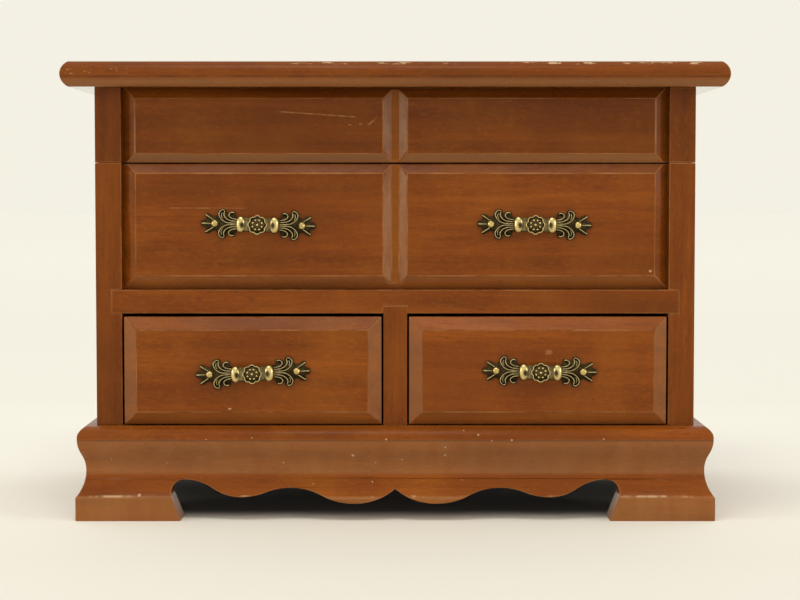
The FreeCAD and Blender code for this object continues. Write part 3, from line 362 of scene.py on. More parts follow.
def worn_arris(name, least, most):
    """Edges rubbed through the stained finish in places."""
    graph = stained_wood(name, "X", seed=7)
    rub = graph.noise(graph.coordinate(), 70, 4, 0.65)
    add_tone(graph, graph.ramp(rub, [(0.38, least), (0.66, most)]), WOOD_WORN)
    bare = graph.noise(graph.coordinate((1, 1, 1), (5, 2, 1)), 75, 5, 0.7)
    add_tone(graph, graph.ramp(bare, [(0.69, 0.0), (0.75, 0.65)]), WOOD_BARE)
    return graph.material


def spot(graph, place, radii, strength, tone):
    """A mark on the front, placed and sized by x and z."""
    x, y, z = graph.place()
    across = graph.math("DIVIDE", graph.math("SUBTRACT", x, place[0]), radii[0])
    upward = graph.math("DIVIDE", graph.math("SUBTRACT", z, place[1]), radii[1])
    reach = graph.math("SQRT", graph.math("ADD", graph.math("MULTIPLY", across, across),
                                          graph.math("MULTIPLY", upward, upward)))
    ragged = graph.noise(graph.coordinate(), 1500, 2, 0.6)
    reach = graph.math("ADD", reach, graph.math("MULTIPLY", graph.math("SUBTRACT", ragged, 0.5), 0.9))
    add_tone(graph, graph.band(reach, -2.0, 0.55, 0.45), tone, strength)


def painted_reflection_under(graph, strength):
    """Painted reflection of the pale floor on slopes that face down, laid into the colour as a pale tone.
    """
    across, out, upward = graph.facing()
    down = graph.fade(graph.math("MULTIPLY", upward, -1.0), 0.10, 0.55)
    add_tone(graph, down, PAINTED_SHEEN, strength)


def painted_sheen_sides(graph, strength):
    """Painted sheen from the side lamps on slopes that face a side."""
    across, out, upward = graph.facing()
    sloped = graph.band(graph.math("ABSOLUTE", across), 0.25, 0.90, 0.05)
    add_tone(graph, sloped, PAINTED_SHEEN, strength)


def gloss_under(graph):
    """The thicker varnish that stayed on the flat underside of the overhang."""
    across, out, upward = graph.facing()
    graph.shader("Coat Weight", graph.math("LESS_THAN", upward, -0.97))
    graph.shader("Coat Roughness", 0.03)


# The upright groove between the panel fields: half widths at its floor and rim, its depth, and
# how far its pointed ends reach into the panel
GROOVE_FLOOR = 0.00165
GROOVE_RIM = 0.0055
GROOVE_DEPTH = 0.0026
PANEL_CHAMFER = 0.0064


def groove_tones(node, graph):
    """Painted sheen on the groove's slopes and a lighter floor between them."""
    x, y, z = graph.place()
    aside = graph.math("ABSOLUTE", x)
    cloud = graph.noise(graph.coordinate((1, 1, 0.3)), 120, 3, 0.6)
    low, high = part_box(node)
    face = graph.band(y, low.y - 0.001, low.y + GROOVE_DEPTH, 0.0001)
    outward = graph.math("MULTIPLY", graph.fade(aside, GROOVE_FLOOR, GROOVE_RIM, "LINEAR"), PANEL_CHAMFER)
    above = graph.math("SUBTRACT", z, outward)
    below = graph.math("ADD", z, outward)
    face = graph.math("MULTIPLY", face, graph.band(above, low.z, high.z + 0.01, 0.0002))
    face = graph.math("MULTIPLY", face, graph.band(below, low.z - 0.01, high.z, 0.0002))
    slope = graph.math("MULTIPLY", face, graph.band(aside, GROOVE_FLOOR + 0.0001, GROOVE_RIM, 0.0002))
    # Painted sheen on the slopes, from the side lamps
    add_tone(graph, slope, PAINTED_SHEEN, graph.ramp(cloud, [(0.35, 0.12), (0.65, 0.40)]))
    floor = graph.math("MULTIPLY", face, graph.band(aside, -0.01, GROOVE_FLOOR, 0.0002))
    add_tone(graph, floor, WOOD_GOLD, 0.45)


# Dents in the base's front: x, z and radius
BASE_DENTS = (
    (-0.0195, 0.0301, 0.00075), (-0.0042, 0.0378, 0.000525), (0.0382, 0.0399, 0.0006),
    (0.0537, 0.0375, 0.0006), (0.0231, 0.0341, 0.00045), (0.0231, 0.0302, 0.0006),
    (-0.0660, 0.0385, 0.00045), (-0.1180, 0.0120, 0.0009), (-0.1010, 0.0135, 0.000825),
    (-0.0965, 0.0075, 0.00075), (0.0960, 0.0380, 0.00045),
)
DENT_SHARE = 0.6


# Heights on the base moulding: the quirk under the ovolo, the middle of the cove and the foot's top
QUIRK_HEIGHT = 0.0371
COVE_MIDDLE = 0.0225
FOOT_TOP = 0.0112


def base_tones(graph):
    """Painted shade in the moulding's quirk, painted sheen on the cove, a paler foot that is partly rubbed
    and partly painted sheen, and small dents.
    """
    x, y, z = graph.place()
    wander = graph.noise(graph.coordinate((1, 1, 0.2)), 130, 3, 0.6)
    # Painted shade: a dark line along the quirk under the ovolo
    quirk = graph.band(z, QUIRK_HEIGHT - 0.00012, QUIRK_HEIGHT + 0.00012, 0.00035)
    add_tone(graph, quirk, GRIME_AND_SHADE, graph.ramp(wander, [(0.35, 0.45), (0.65, 0.9)]))
    # Painted sheen on the cove, laid on as a pale tone
    cove = graph.band(z, COVE_MIDDLE, QUIRK_HEIGHT - 0.0008, 0.0022)
    add_tone(graph, cove, PAINTED_SHEEN, graph.ramp(wander, [(0.3, 0.20), (0.7, 0.30)]))
    # The paler foot is partly rubbed wear and partly painted sheen
    foot = graph.band(z, -0.01, FOOT_TOP, 0.0006)
    add_tone(graph, foot, WOOD_WORN, graph.ramp(wander, [(0.3, 0.38), (0.7, 0.62)]))
    edge = graph.band(z, FOOT_TOP, FOOT_TOP + 0.0004, 0.0005)
    add_tone(graph, edge, WOOD_BARE, graph.ramp(wander, [(0.50, 0.0), (0.64, 0.55)]))
    dents = graph.noise(graph.coordinate(), 620, 0, 0.4)
    add_tone(graph, graph.ramp(dents, [(0.875, 0.0), (0.89, 0.7)]), WOOD_BARE)


def pale_wood(name, axis, seed):
    """Unstained secondary wood of the hidden boards."""
    graph = Graph(name)
    draw = random.Random(seed)
    offset = tuple(draw.uniform(-3, 3) for _ in range(3))
    along = graph.coordinate(grain_scale(axis), offset)
    figure = graph.noise(along, 75, 4, 0.6, 0.8)
    colour = graph.ramp(figure, [(0.3, PALE_DARK), (0.7, PALE_LIGHT)])
    ticks = graph.noise(graph.coordinate(grain_scale(axis, 0.05), offset), 900, 1)
    colour = graph.mix(graph.ramp(ticks, [(0.30, 0.5), (0.40, 0.0)]), colour, PALE_DARK)
    graph.shader("Base Color", colour)
    graph.shader("Roughness", graph.ramp(figure, [(0.3, 0.72), (0.7, 0.6)]))
    graph.shader("Specular IOR Level", 0.25)
    graph.bump(ticks, 0.12, 0.0004)
    return graph.material


def scratch(graph, start, end, width):
    """A pale line between two points of the front, given as x and z."""
    wobble = graph.noise(graph.coordinate(), 300, 2)
    x, y, z = graph.place()
    run, rise = end[0] - start[0], end[1] - start[1]
    length = math.hypot(run, rise)
    from_x = graph.math("SUBTRACT", x, start[0])
    from_z = graph.math("SUBTRACT", z, start[1])
    along = graph.math("ADD", graph.math("MULTIPLY", from_x, run / length),
                       graph.math("MULTIPLY", from_z, rise / length))
    aside = graph.math("ABSOLUTE", graph.math("SUBTRACT", graph.math("MULTIPLY", from_x, rise / length),
                                              graph.math("MULTIPLY", from_z, run / length)))
    inside = graph.band(along, 0, length, length * 0.08)
    near = graph.band(aside, -width, width * 0.35, width * 0.65)
    broken = graph.ramp(wobble, [(0.38, 0.15), (0.62, 1.0)])
    mask = graph.math("MULTIPLY", graph.math("MULTIPLY", inside, near), broken)
    add_tone(graph, mask, WOOD_WORN, 0.70)


# The top board's wear: where the chips run along the front, and where its nose is rubbed
CHIPS_FROM, CHIPS_TO = -0.045, 0.135
RUBBED_FROM, RUBBED_TO = -0.152, -0.125


def chipped_edge(graph):
    """Bare chips along the top board's upper front edge, a rubbed left end and a darker line along its
    nose.
    """
    x, y, z = graph.place()
    chips = graph.noise(graph.coordinate((0.35, 1, 1)), 460, 4, 0.7)
    runs = graph.noise(graph.coordinate((1, 0, 0), (0.31, 0, 0)), 30, 2, 0.6)
    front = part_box("top_board")[0].y
    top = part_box("top_board")[1].z
    edge = graph.math("MULTIPLY", graph.band(y, front - 0.002, front + 0.0022, 0.0008),
                      graph.band(z, top - 0.0009, top + 0.002, 0.0008))
    spots = graph.math("MULTIPLY", graph.ramp(chips, [(0.54, 0.0), (0.60, 0.85)]),
                       graph.ramp(runs, [(0.44, 0.0), (0.52, 1.0)]))
    centre = graph.band(x, CHIPS_FROM, CHIPS_TO, 0.012)
    add_tone(graph, graph.math("MULTIPLY", edge, spots), WOOD_BARE, centre)
    wander = graph.noise(graph.coordinate((1, 1, 0.2)), 90, 3, 0.6)
    flecks = graph.noise(graph.coordinate((0.6, 1, 1), (0.2, 0, 0)), 800, 2, 0.6)
    rubbed = graph.math("MULTIPLY", graph.band(x, RUBBED_FROM, RUBBED_TO, 0.012),
                        graph.band(z, top - 0.0056, top - 0.0036, 0.0008))
    add_tone(graph, rubbed, WOOD_BARE, graph.ramp(flecks, [(0.60, 0.0), (0.70, 0.40)]))
    line = graph.band(z, top - 0.0072, top - 0.0068, 0.0005)
    add_tone(graph, line, GRIME_AND_SHADE, graph.ramp(wander, [(0.35, 0.15), (0.65, 0.6)]))


LONG_BOARDS = ("top_board", "lid_front", "false_front", "shelf", "base_front",
               "left_drawer_front", "right_drawer_front")
UPRIGHT_BOARDS = ("left_side", "right_side", "divider", "lid_left_side", "lid_right_side")
DEEP_BOARDS = ("base_left", "base_right")
PALE_LONG = ("left_drawer_back", "right_drawer_back", "left_drawer_bottom", "right_drawer_bottom")
DARK_LONG = ("base_back", "bottom_board", "corner_blocks", "case_back", "lid_back")
PALE_DEEP = ("left_drawer_left_side", "left_drawer_right_side",
             "right_drawer_left_side", "right_drawer_right_side")
# First seeds of the boards' grain, and the step between the grain's directions
BOARD_SEED = 20
AXIS_SEEDS = 40
DARK_SEED = 300
PALE_SEED = 400


def stand_in(name, mesh, node, body, place=(0, 0, 0), turn=0.0):
    """Show a mesh in the place of a CAD node, on the same body."""
    piece = bpy.data.objects.new(name, mesh)
    piece.location = place
    piece.rotation_euler = (0, turn, 0)
    scene.collection.objects.link(piece)
    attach(piece, body)
    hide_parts(node)
    return piece


# How far the case sides' upper edges come up towards the lid
SEAM_CLOSING = 0.00045


def close_seam(node):
    """A case side whose upper edge almost meets the lid, as the real lid sits down on it."""
    mesh = nodes[node].data.copy()
    top = max(vertex.co.z for vertex in mesh.vertices)
    for vertex in mesh.vertices:
        if vertex.co.z > top - 0.0001:
            vertex.co.z += SEAM_CLOSING
    shown[node] = stand_in(f"{node}_board", mesh, node, "case")


# Broken edges: their widths, and the angles from which an edge is broken
ARRIS = 0.00035
HARDWARE_EDGE = 0.00012
MIRROR_EDGE = 0.0012
PARTITION_EDGE = 0.0012
BEVEL_ANGLE = 16
NICKED_ANGLE = 40


def soften(node, width, edge_material=None, segments=2):
    """Break a board's arrises; the broken edges may take another material."""
    thing = shown[node]
    weld = thing.modifiers.new("weld", "WELD")
    weld.merge_threshold = 0.00001
    bevel = thing.modifiers.new("arris", "BEVEL")
    bevel.width = width
    bevel.segments = segments
    bevel.limit_method = "ANGLE"
    bevel.angle_limit = math.radians(NICKED_ANGLE if node == "shelf" else BEVEL_ANGLE)
    bevel.use_clamp_overlap = edge_material is None
    if edge_material:
        thing.data.materials.append(edge_material)
        bevel.material = len(thing.data.materials) - 1


def dress(node, material):
    """Give a node one material all over."""
    thing = shown[node]
    thing.data.materials.clear()
    thing.data.materials.append(material)
    for face in thing.data.polygons:
        face.material_index = 0


# Marks on the fronts: scratches by start, end and width, spots by place, radii, strength and tone
SCRATCHES = {
    "lid_front": (
        ((-0.0530, 0.1885), (-0.0198, 0.1862), 0.0004),
        ((-0.0122, 0.1825), (-0.0085, 0.1859), 0.0005),
    ),
    "false_front": (((-0.1025, 0.1442), (-0.0705, 0.1441), 0.00035),),
}
SPOTS = {
    "lid_front": (
        ((-0.0209, 0.1825), (0.0010, 0.0004), 0.6, WOOD_WORN),
        ((-0.0160, 0.1829), (0.0010, 0.0004), 0.6, WOOD_WORN),
    ),
    "false_front": (((0.118, 0.1150), (0.0009, 0.0007), 0.5, WOOD_BARE),),
    "left_drawer_front": (((-0.0765, 0.0515), (0.0011, 0.0005), 0.5, WOOD_BARE),),
    "right_drawer_front": (
        ((0.0709, 0.0777), (0.0022, 0.0015), 0.6, WOOD_WORN),
        ((0.0913, 0.0559), (0.0005, 0.0005), 0.9, GRIME_AND_SHADE),
    ),
}
# How strong the painted reflection is on slopes that face down, and the painted sheen on the drawers' side
# slopes
SHEEN_UNDER = {"top_board": 0.28, "lid_front": 0.28}
SHEEN_UNDER_ELSEWHERE = 0.12
SHEEN_SIDES = 0.20


def front_marks(node, graph):
    """Painted sheen, reflection and shade, wear, scratches and dents that belong to one board."""
    # Painted reflection on slopes that face down
    if not node.startswith("base_"):
        painted_reflection_under(graph, SHEEN_UNDER.get(node, SHEEN_UNDER_ELSEWHERE))
    # Painted sheen on the drawers' side slopes
    if node.endswith("drawer_front"):
        painted_sheen_sides(graph, SHEEN_SIDES)
    if node in ("lid_front", "false_front"):
        groove_tones(node, graph)
    for start, end, width in SCRATCHES.get(node, ()):
        scratch(graph, start, end, width)
    for place, radii, strength, tone in SPOTS.get(node, ()):
        spot(graph, place, radii, strength, tone)
    if node == "top_board":
        chipped_edge(graph)
        gloss_under(graph)
    if node.startswith("base_"):
        base_tones(graph)
    if node == "base_front":
        for x, z, radius in BASE_DENTS:
            spot(graph, (x, z), (radius, radius), DENT_SHARE, WOOD_BARE)


def dress_boards():
    for node in ("left_side", "right_side"):
        close_seam(node)
    worn = worn_arris("worn_arris", 0.10, 0.75)
    scroll = worn_arris("worn_scroll", 0.45, 0.90)
    for axis, names in (("X", LONG_BOARDS), ("Z", UPRIGHT_BOARDS), ("Y", DEEP_BOARDS)):
        for number, node in enumerate(names):
            seed = BOARD_SEED + number + AXIS_SEEDS * GRAIN_AXES[axis]
            graph = stained_wood(f"wood_{node}", axis, seed, STAIN.get(node, 1.0))
            front_marks(node, graph)
            dress(node, graph.material)
            soften(node, ARRIS, scroll if node.startswith("base_") else worn)
    for number, node in enumerate(DARK_LONG):
        graph = stained_wood(f"wood_{node}", "X", DARK_SEED + number, STAIN.get(node, 1.0))
        dress(node, graph.material)
        soften(node, ARRIS, worn)
    for axis, names in (("X", PALE_LONG), ("Y", PALE_DEEP)):
        for number, node in enumerate(names):
            dress(node, pale_wood(f"pale_{node}", axis, PALE_SEED + number))
            soften(node, ARRIS)


# Metal, velvet and glass
PATINA = (0.050, 0.034, 0.014, 1)
PATINA_WARM = (0.105, 0.073, 0.027, 1)
BRASS_DULL = (0.37, 0.295, 0.150, 1)
BRASS_BRIGHT = (0.73, 0.565, 0.215, 1)
NAIL_DULL = (0.45, 0.32, 0.12, 1)


def antique_brass():
    """Cast brass, dark in the recesses and rubbed bright where it stands proud."""
    graph = Graph("antique_brass")
    polish = graph.attribute("polish")
    cloud = graph.noise(graph.coordinate(), 700, 4, 0.6)
    level = graph.math("ADD", polish, graph.math("MULTIPLY", graph.math("SUBTRACT", cloud, 0.5), 0.55))
    stops = [(0.12, PATINA), (0.38, PATINA_WARM), (0.62, BRASS_DULL), (0.95, BRASS_BRIGHT)]
    graph.shader("Base Color", graph.ramp(level, stops))
    graph.shader("Roughness", graph.ramp(level, [(0.2, 0.55), (0.9, 0.24)]))
    graph.shader("Metallic", 1.0)
    graph.bump(graph.noise(graph.coordinate(), 2600, 3), 0.12, 0.0002)
    return graph.material


def bright_brass(name, dull):
    """Plain brass hardware with handling marks."""
    graph = Graph(name)
    cloud = graph.noise(graph.coordinate(), 500, 4, 0.6)
    graph.shader("Base Color", graph.ramp(cloud, [(0.3, dull), (0.7, BRASS_BRIGHT)]))
    graph.shader("Roughness", graph.ramp(cloud, [(0.3, 0.38), (0.7, 0.22)]))
    graph.shader("Metallic", 1.0)
    graph.bump(graph.noise(graph.coordinate(), 3000, 2), 0.06, 0.0002)
    return graph.material


VELVET_DARK = (0.085, 0.004, 0.008, 1)
VELVET_LIGHT = (0.23, 0.014, 0.022, 1)
VELVET_SHEEN = (0.75, 0.20, 0.22, 1)


def velvet(name, seed):
    """Short red pile with brushed patches."""
    graph = Graph(name)
    offset = (seed * 0.37, seed * 0.91, seed * 0.53)
    brushed = graph.noise(graph.coordinate((1, 1, 1), offset), 38, 4, 0.65)
    pile = graph.noise(graph.coordinate((1, 1, 1), offset), 2600, 2, 0.7)
    colour = graph.ramp(brushed, [(0.3, VELVET_DARK), (0.7, VELVET_LIGHT)])
    colour = graph.mix(graph.ramp(pile, [(0.35, 0.55), (0.65, 0.0)]), colour, VELVET_DARK)
    graph.shader("Base Color", colour)
    graph.shader("Roughness", 0.95)
    graph.shader("Specular IOR Level", 0.1)
    graph.shader("Sheen Weight", 0.7)
    graph.shader("Sheen Roughness", 0.35)
    graph.shader("Sheen Tint", VELVET_SHEEN)
    graph.bump(pile, 0.35, 0.0005)
    return graph.material


SILVER_DIM = (0.80, 0.82, 0.81, 1)
SILVER_CLEAR = (0.88, 0.89, 0.88, 1)


def silvered_glass():
    """A mirror with a faint haze."""
    graph = Graph("silvered_glass")
    haze = graph.noise(graph.coordinate(), 24, 4, 0.6)
    graph.shader("Base Color", graph.ramp(haze, [(0.3, SILVER_DIM), (0.7, SILVER_CLEAR)]))
    graph.shader("Roughness", graph.ramp(haze, [(0.3, 0.015), (0.8, 0.05)]))
    graph.shader("Metallic", 1.0)
    return graph.material


def dress_hardware():
    hinge = bright_brass("hinge_brass", BRASS_DULL)
    for node in nodes:
        if "hinge" in node or "stay" in node:
            dress(node, hinge)
            soften(node, HARDWARE_EDGE, segments=1)
    dress("mirror", silvered_glass())
    soften("mirror", MIRROR_EDGE)
    for number, node in enumerate(("partition_long", "partition_front", "partition_rear")):
        dress(node, velvet(f"velvet_{node}", number + 1))
        soften(node, PARTITION_EDGE, segments=3)


# Surfaces between closed rings of points
def skin(shape, rings):
    """Faces between each ring and the next."""
    count = len(rings[0])
    for first, second in zip(rings, rings[1:]):
        for index in range(count):
            following = (index + 1) % count
            shape.faces.new((first[index], first[following], second[following], second[index]))


def skin_and_ends(shape, rings):
    """Faces between the rings, and one over each end."""
    skin(shape, rings)
    shape.faces.new(list(reversed(rings[0])))
    shape.faces.new(rings[-1])


def mesh_of(shape, name):
    """A mesh from a finished shape, with its faces turned outward."""
    bmesh.ops.recalc_face_normals(shape, faces=shape.faces)
    mesh = bpy.data.meshes.new(name)
    shape.to_mesh(mesh)
    shape.free()
    return mesh


# Pulls
def smooth_path(points, steps=6):
    """A smooth curve through a few points of x, z, height and radius."""
    padded = [points[0]] + list(points) + [points[-1]]
    path = []
    for before, start, end, after in zip(padded, padded[1:], padded[2:], padded[3:]):
        for step in range(steps):
            t = step / steps
            path.append(tuple(
                0.5 * (2 * b + (c - a) * t + (2 * a - 5 * b + 4 * c - d) * t ** 2
                       + (3 * b - a - 3 * c + d) * t ** 3)
                for a, b, c, d in zip(before, start, end, after)
            ))
    path.append(tuple(points[-1]))
    return path


def boxy(number, power):
    """A sine or cosine, which turns a circle boxier where power is below 1."""
    return math.copysign(abs(number) ** power, number)


class Casting:
    """Collects a pull's relief in millimetres: x across, z up and height out of the face."""

    def __init__(self):
        self.shape = bmesh.new()
        self.polish = self.shape.verts.layers.float.new("polish")

    def vertex(self, x, z, height, polish):
        made = self.shape.verts.new((x * MM, -height * MM, z * MM))
        made[self.polish] = polish
        return made

    def ridge(self, points, sides=8, flat=0.95, bright=0.68):
        """A tapering rib along a path, rubbed bright along its crest."""
        path = smooth_path(points)
        rings = []
        for index, (x, z, height, radius) in enumerate(path):
            ahead = path[min(index + 1, len(path) - 1)]
            behind = path[max(index - 1, 0)]
            run, rise = ahead[0] - behind[0], ahead[1] - behind[1]
            length = math.hypot(run, rise) or 1.0
            across = (-rise / length, run / length)
            ring = []
            for side in range(sides):
                angle = 2 * math.pi * side / sides
                reach = radius * math.cos(angle)
                lift = radius * flat * math.sin(angle)
                crest = max(0.0, math.sin(angle)) ** 2
                ring.append(self.vertex(x + across[0] * reach, z + across[1] * reach, height + lift,
                                        0.12 + bright * crest))
            rings.append(ring)
        skin_and_ends(self.shape, rings)

    def plate(self, outline, low, high, polish):
        """A flat plate inside a closed outline."""
        bottom = [self.vertex(x, z, low, polish) for x, z in outline]
        top = [self.vertex(x, z, high, polish) for x, z in outline]
        skin_and_ends(self.shape, [bottom, top])

    def dome(self, x, z, height, radii, bright, dark=0.2, rows=8, columns=16, power=1.0):
        """A rounded boss: an ellipsoid, boxier where power is below 1. Returns its points."""
        rings = []
        for row in range(1, rows):
            latitude = math.pi * row / rows
            ring = []
            for column in range(columns):
                angle = 2 * math.pi * column / columns
                out = boxy(math.cos(latitude), power)
                side = boxy(math.sin(latitude), power)
                ring.append(self.vertex(
                    x + radii[0] * side * boxy(math.cos(angle), power),
                    z + radii[1] * side * boxy(math.sin(angle), power),
                    height + radii[2] * out,
                    dark + (bright - dark) * max(0.0, out),
                ))
            rings.append(ring)
        front = self.vertex(x, z, height + radii[2], bright)
        back = self.vertex(x, z, height - radii[2], dark)
        made = [front] + [point for ring in rings for point in ring]
        for column in range(columns):
            following = (column + 1) % columns
            self.shape.faces.new((front, rings[0][column], rings[0][following]))
            self.shape.faces.new((back, rings[-1][following], rings[-1][column]))
            for first, second in zip(rings, rings[1:]):
                self.shape.faces.new((first[column], second[column], second[following], first[following]))
        return made

    def finish(self, name):
        mesh = mesh_of(self.shape, name)
        for face in mesh.polygons:
            face.use_smooth = True
        return mesh


# Leaf of a pull, for the right-hand upper quarter: the others mirror it
PLATE_TOP = 0.75
LEAF_OUTLINE = (
    (8.2, 2.9), (9.9, 3.1), (10.5, 4.6), (10.7, 5.9), (11.6, 6.4), (12.9, 6.1), (13.9, 5.3), (14.4, 5.0),
    (14.8, 6.2), (15.3, 7.2), (16.4, 7.5), (17.9, 6.9), (18.7, 5.6), (18.9, 4.4), (19.4, 3.6), (20.6, 3.4),
    (22.2, 4.4), (23.7, 5.0), (24.6, 4.6), (24.3, 3.4), (23.9, 2.3), (24.9, 1.7), (26.0, 1.4), (26.5, 0.6),
)
# Each rib: points of x, z, height above the face and half width
LEAF_RIBS = (
    ((20.6, 1.7, 0.85, 0.24), (22.3, 2.9, 1.1, 0.30), (23.6, 3.8, 1.1, 0.40), (24.3, 4.3, 0.9, 0.36)),
    ((9.3, 0.42, 1.1, 0.26), (11.6, 0.40, 1.1, 0.27), (14.0, 0.50, 1.05, 0.27), (15.8, 1.15, 1.1, 0.28),
     (17.4, 2.6, 1.15, 0.30), (18.2, 4.5, 1.15, 0.31), (17.7, 6.1, 1.1, 0.31), (16.5, 6.85, 1.0, 0.30),
     (15.6, 6.5, 0.9, 0.24)),
    ((9.3, 1.35, 1.1, 0.26), (12.4, 1.50, 1.1, 0.27), (14.8, 2.6, 1.15, 0.29), (15.9, 4.4, 1.1, 0.30),
     (15.6, 6.2, 0.95, 0.26)),
    ((9.3, 2.30, 1.1, 0.26), (12.0, 2.65, 1.1, 0.28), (13.5, 3.8, 1.15, 0.30), (13.3, 5.1, 1.1, 0.32),
     (12.2, 5.75, 1.0, 0.34), (11.2, 5.5, 0.9, 0.28)),
    ((16.6, 2.5, 0.85, 0.18), (17.1, 4.0, 0.95, 0.20), (16.8, 5.5, 0.85, 0.16)),
)
TIP_RIB = ((21.9, 0.0, 0.9, 0.24), (23.6, 0.0, 1.1, 0.30), (25.2, 0.0, 1.1, 0.40), (26.1, 0.0, 0.85, 0.34))
NAIL_PLACE = 20.1
LEAF_HEIGHT = 0.94
# The arched grip: half length, crown above the face, bend, thickness, half width and corners round it
BRIDGE_HALF = 9.75
CROWN = 7.4
BRIDGE_BEND = 3.0
BRIDGE_THICKNESS = 1.5
BRIDGE_REACH = 3.3
BRIDGE_CORNERS = 16
# The knuckles at its ends: place and size, and the place, size and depth of the painted dark reflection on
# each
KNUCKLE = 7.65
KNUCKLE_DROP = 2.0
KNUCKLE_RADII = (2.4, 3.95, 2.55)
DARK_REFLECTION_PLACE = (-0.55, -0.2)
DARK_REFLECTION_RADII = (1.35, 1.9)
DARK_REFLECTION_DEPTH = 0.85
# The rosette: lobes, radius, height of its front, and its beads' circle and height
ROSETTE_LOBES = 8
ROSETTE_RADIUS = 4.55
ROSETTE_FRONT = 8.65
BEAD_CIRCLE = 2.25
BEAD_HEIGHT = ROSETTE_FRONT - 0.72


def add_leaves(casting):
    """Two leaves with raised ribs and a seat for each nail."""
    for side in (1, -1):
        upper = [(side * x, LEAF_HEIGHT * z) for x, z in LEAF_OUTLINE]
        lower = [(side * x, -LEAF_HEIGHT * z) for x, z in reversed(LEAF_OUTLINE)]
        outline = upper + lower if side < 0 else list(reversed(upper + lower))
        casting.plate(outline, 0.0, PLATE_TOP, 0.10)
        casting.ridge([(side * x, z, h, r) for x, z, h, r in TIP_RIB])
        casting.dome(side * NAIL_PLACE, 0, PLATE_TOP, (2.05, 2.05, 0.40), 0.30)
        for rib in LEAF_RIBS:
            for up in (1, -1):
                casting.ridge([(side * x, up * LEAF_HEIGHT * z, h, r) for x, z, h, r in rib])


def bridge_spine():
    """The grip's middle line from end to end, as x and height."""
    half, thickness = BRIDGE_HALF, BRIDGE_THICKNESS
    centre = half - BRIDGE_BEND
    radius = BRIDGE_BEND - thickness / 2
    spine = [(-half + thickness / 2, 0.2), (-half + thickness / 2, CROWN - BRIDGE_BEND)]
    for side, start in ((-1, 180), (1, 90)):
        for step in range(1, 7):
            angle = math.radians(start - 15 * step)
            across = side * centre + radius * math.cos(angle)
            spine.append((across, CROWN - BRIDGE_BEND + radius * math.sin(angle)))
    spine.append((half - thickness / 2, 0.2))
    return spine


def add_bridge(casting):
    """An arched strip with rounded edges."""
    spine = bridge_spine()
    rings = []
    for index, (x, out) in enumerate(spine):
        ahead, behind = spine[min(index + 1, len(spine) - 1)], spine[max(index - 1, 0)]
        run, rise = ahead[0] - behind[0], ahead[1] - behind[1]
        length = math.hypot(run, rise)
        normal = (-rise / length, run / length)
        ring = []
        for corner in range(BRIDGE_CORNERS):
            angle = 2 * math.pi * corner / BRIDGE_CORNERS
            lift = boxy(math.sin(angle), 0.6) * BRIDGE_THICKNESS / 2
            z = boxy(math.cos(angle), 0.45) * BRIDGE_REACH
            ring.append(casting.vertex(x + normal[0] * lift, z, out + normal[1] * lift,
                                       0.20 + 0.25 * max(0.0, math.sin(angle))))
        rings.append(ring)
    skin_and_ends(casting.shape, rings)


def add_knuckles(casting):
    """A rubbed knuckle at each end of the grip, with a painted dark reflection near its middle."""
    for side in (1, -1):
        knuckle = casting.dome(side * KNUCKLE, 0, CROWN - KNUCKLE_DROP, KNUCKLE_RADII, 1.0, 0.30,
                               rows=18, columns=36, power=0.85)
        for point in knuckle:
            outward = (side * point.co.x / MM - KNUCKLE - DARK_REFLECTION_PLACE[0]) / DARK_REFLECTION_RADII[0]
            upward = (point.co.z / MM - DARK_REFLECTION_PLACE[1]) / DARK_REFLECTION_RADII[1]
            # Painted reflection: the polish is lowered near the middle, where the knuckle reflects the dark
            # room
            dark_reflection = max(0.0, 1 - math.hypot(outward, upward) ** 2)
            point[casting.polish] -= DARK_REFLECTION_DEPTH * dark_reflection


def add_rosette(casting):
    """A lobed flower with a raised rim and a ring of beads."""
    count = ROSETTE_LOBES * 8
    outline = []
    for step in range(count):
        angle = 2 * math.pi * step / count
        radius = ROSETTE_RADIUS - 0.55 * (1 - abs(math.cos(ROSETTE_LOBES * angle / 2)) ** 0.7)
        outline.append((radius * math.cos(angle), radius * math.sin(angle)))
    casting.plate(outline, CROWN - 0.6, ROSETTE_FRONT - 0.75, 0.30)
    rim = [(0.93 * x, 0.93 * z, BEAD_HEIGHT, 0.30) for x, z in outline]
    casting.ridge(rim[::2] + [rim[0]], sides=6, flat=0.9, bright=0.85)
    for lobe in range(ROSETTE_LOBES):
        angle = 2 * math.pi * (lobe + 0.5) / ROSETTE_LOBES
        casting.dome(BEAD_CIRCLE * math.cos(angle), BEAD_CIRCLE * math.sin(angle), BEAD_HEIGHT,
                     (0.55, 0.55, 0.58), 0.95, 0.1, 6, 10)
    casting.dome(0, 0, BEAD_HEIGHT, (0.66, 0.66, 0.70), 1.0, 0.1, 6, 12)


# Each pull's body
PULL_BODIES = {
    "left_panel_pull": "case",
    "right_panel_pull": "case",
    "left_drawer_pull": "left_drawer",
    "right_drawer_pull": "right_drawer",
}
# How far each pull hangs out of level, in degrees clockwise
PULL_TILTS = {
    "left_panel_pull": 1.6,
    "right_panel_pull": 0.8,
    "left_drawer_pull": -2.2,
    "right_drawer_pull": 0.9,
}
# How far each pull was nailed out of its place, across and up in millimetres
PULL_SLIPS = {
    "left_panel_pull": (-0.4, 0.0),
    "right_panel_pull": (1.5, 0.0),
    "left_drawer_pull": (0.4, -0.7),
    "right_drawer_pull": (0.7, 0.0),
}
# Each set of nails, its body and the pulls that it holds
NAILS = (
    ("panel_pull_nails", "case", ("left_panel_pull", "right_panel_pull")),
    ("left_drawer_nails", "left_drawer", ("left_drawer_pull",)),
    ("right_drawer_nails", "right_drawer", ("right_drawer_pull",)),
)
NAIL_HEAD = (1.65, 1.65, 1.1)
NAIL_SEAT = 0.25


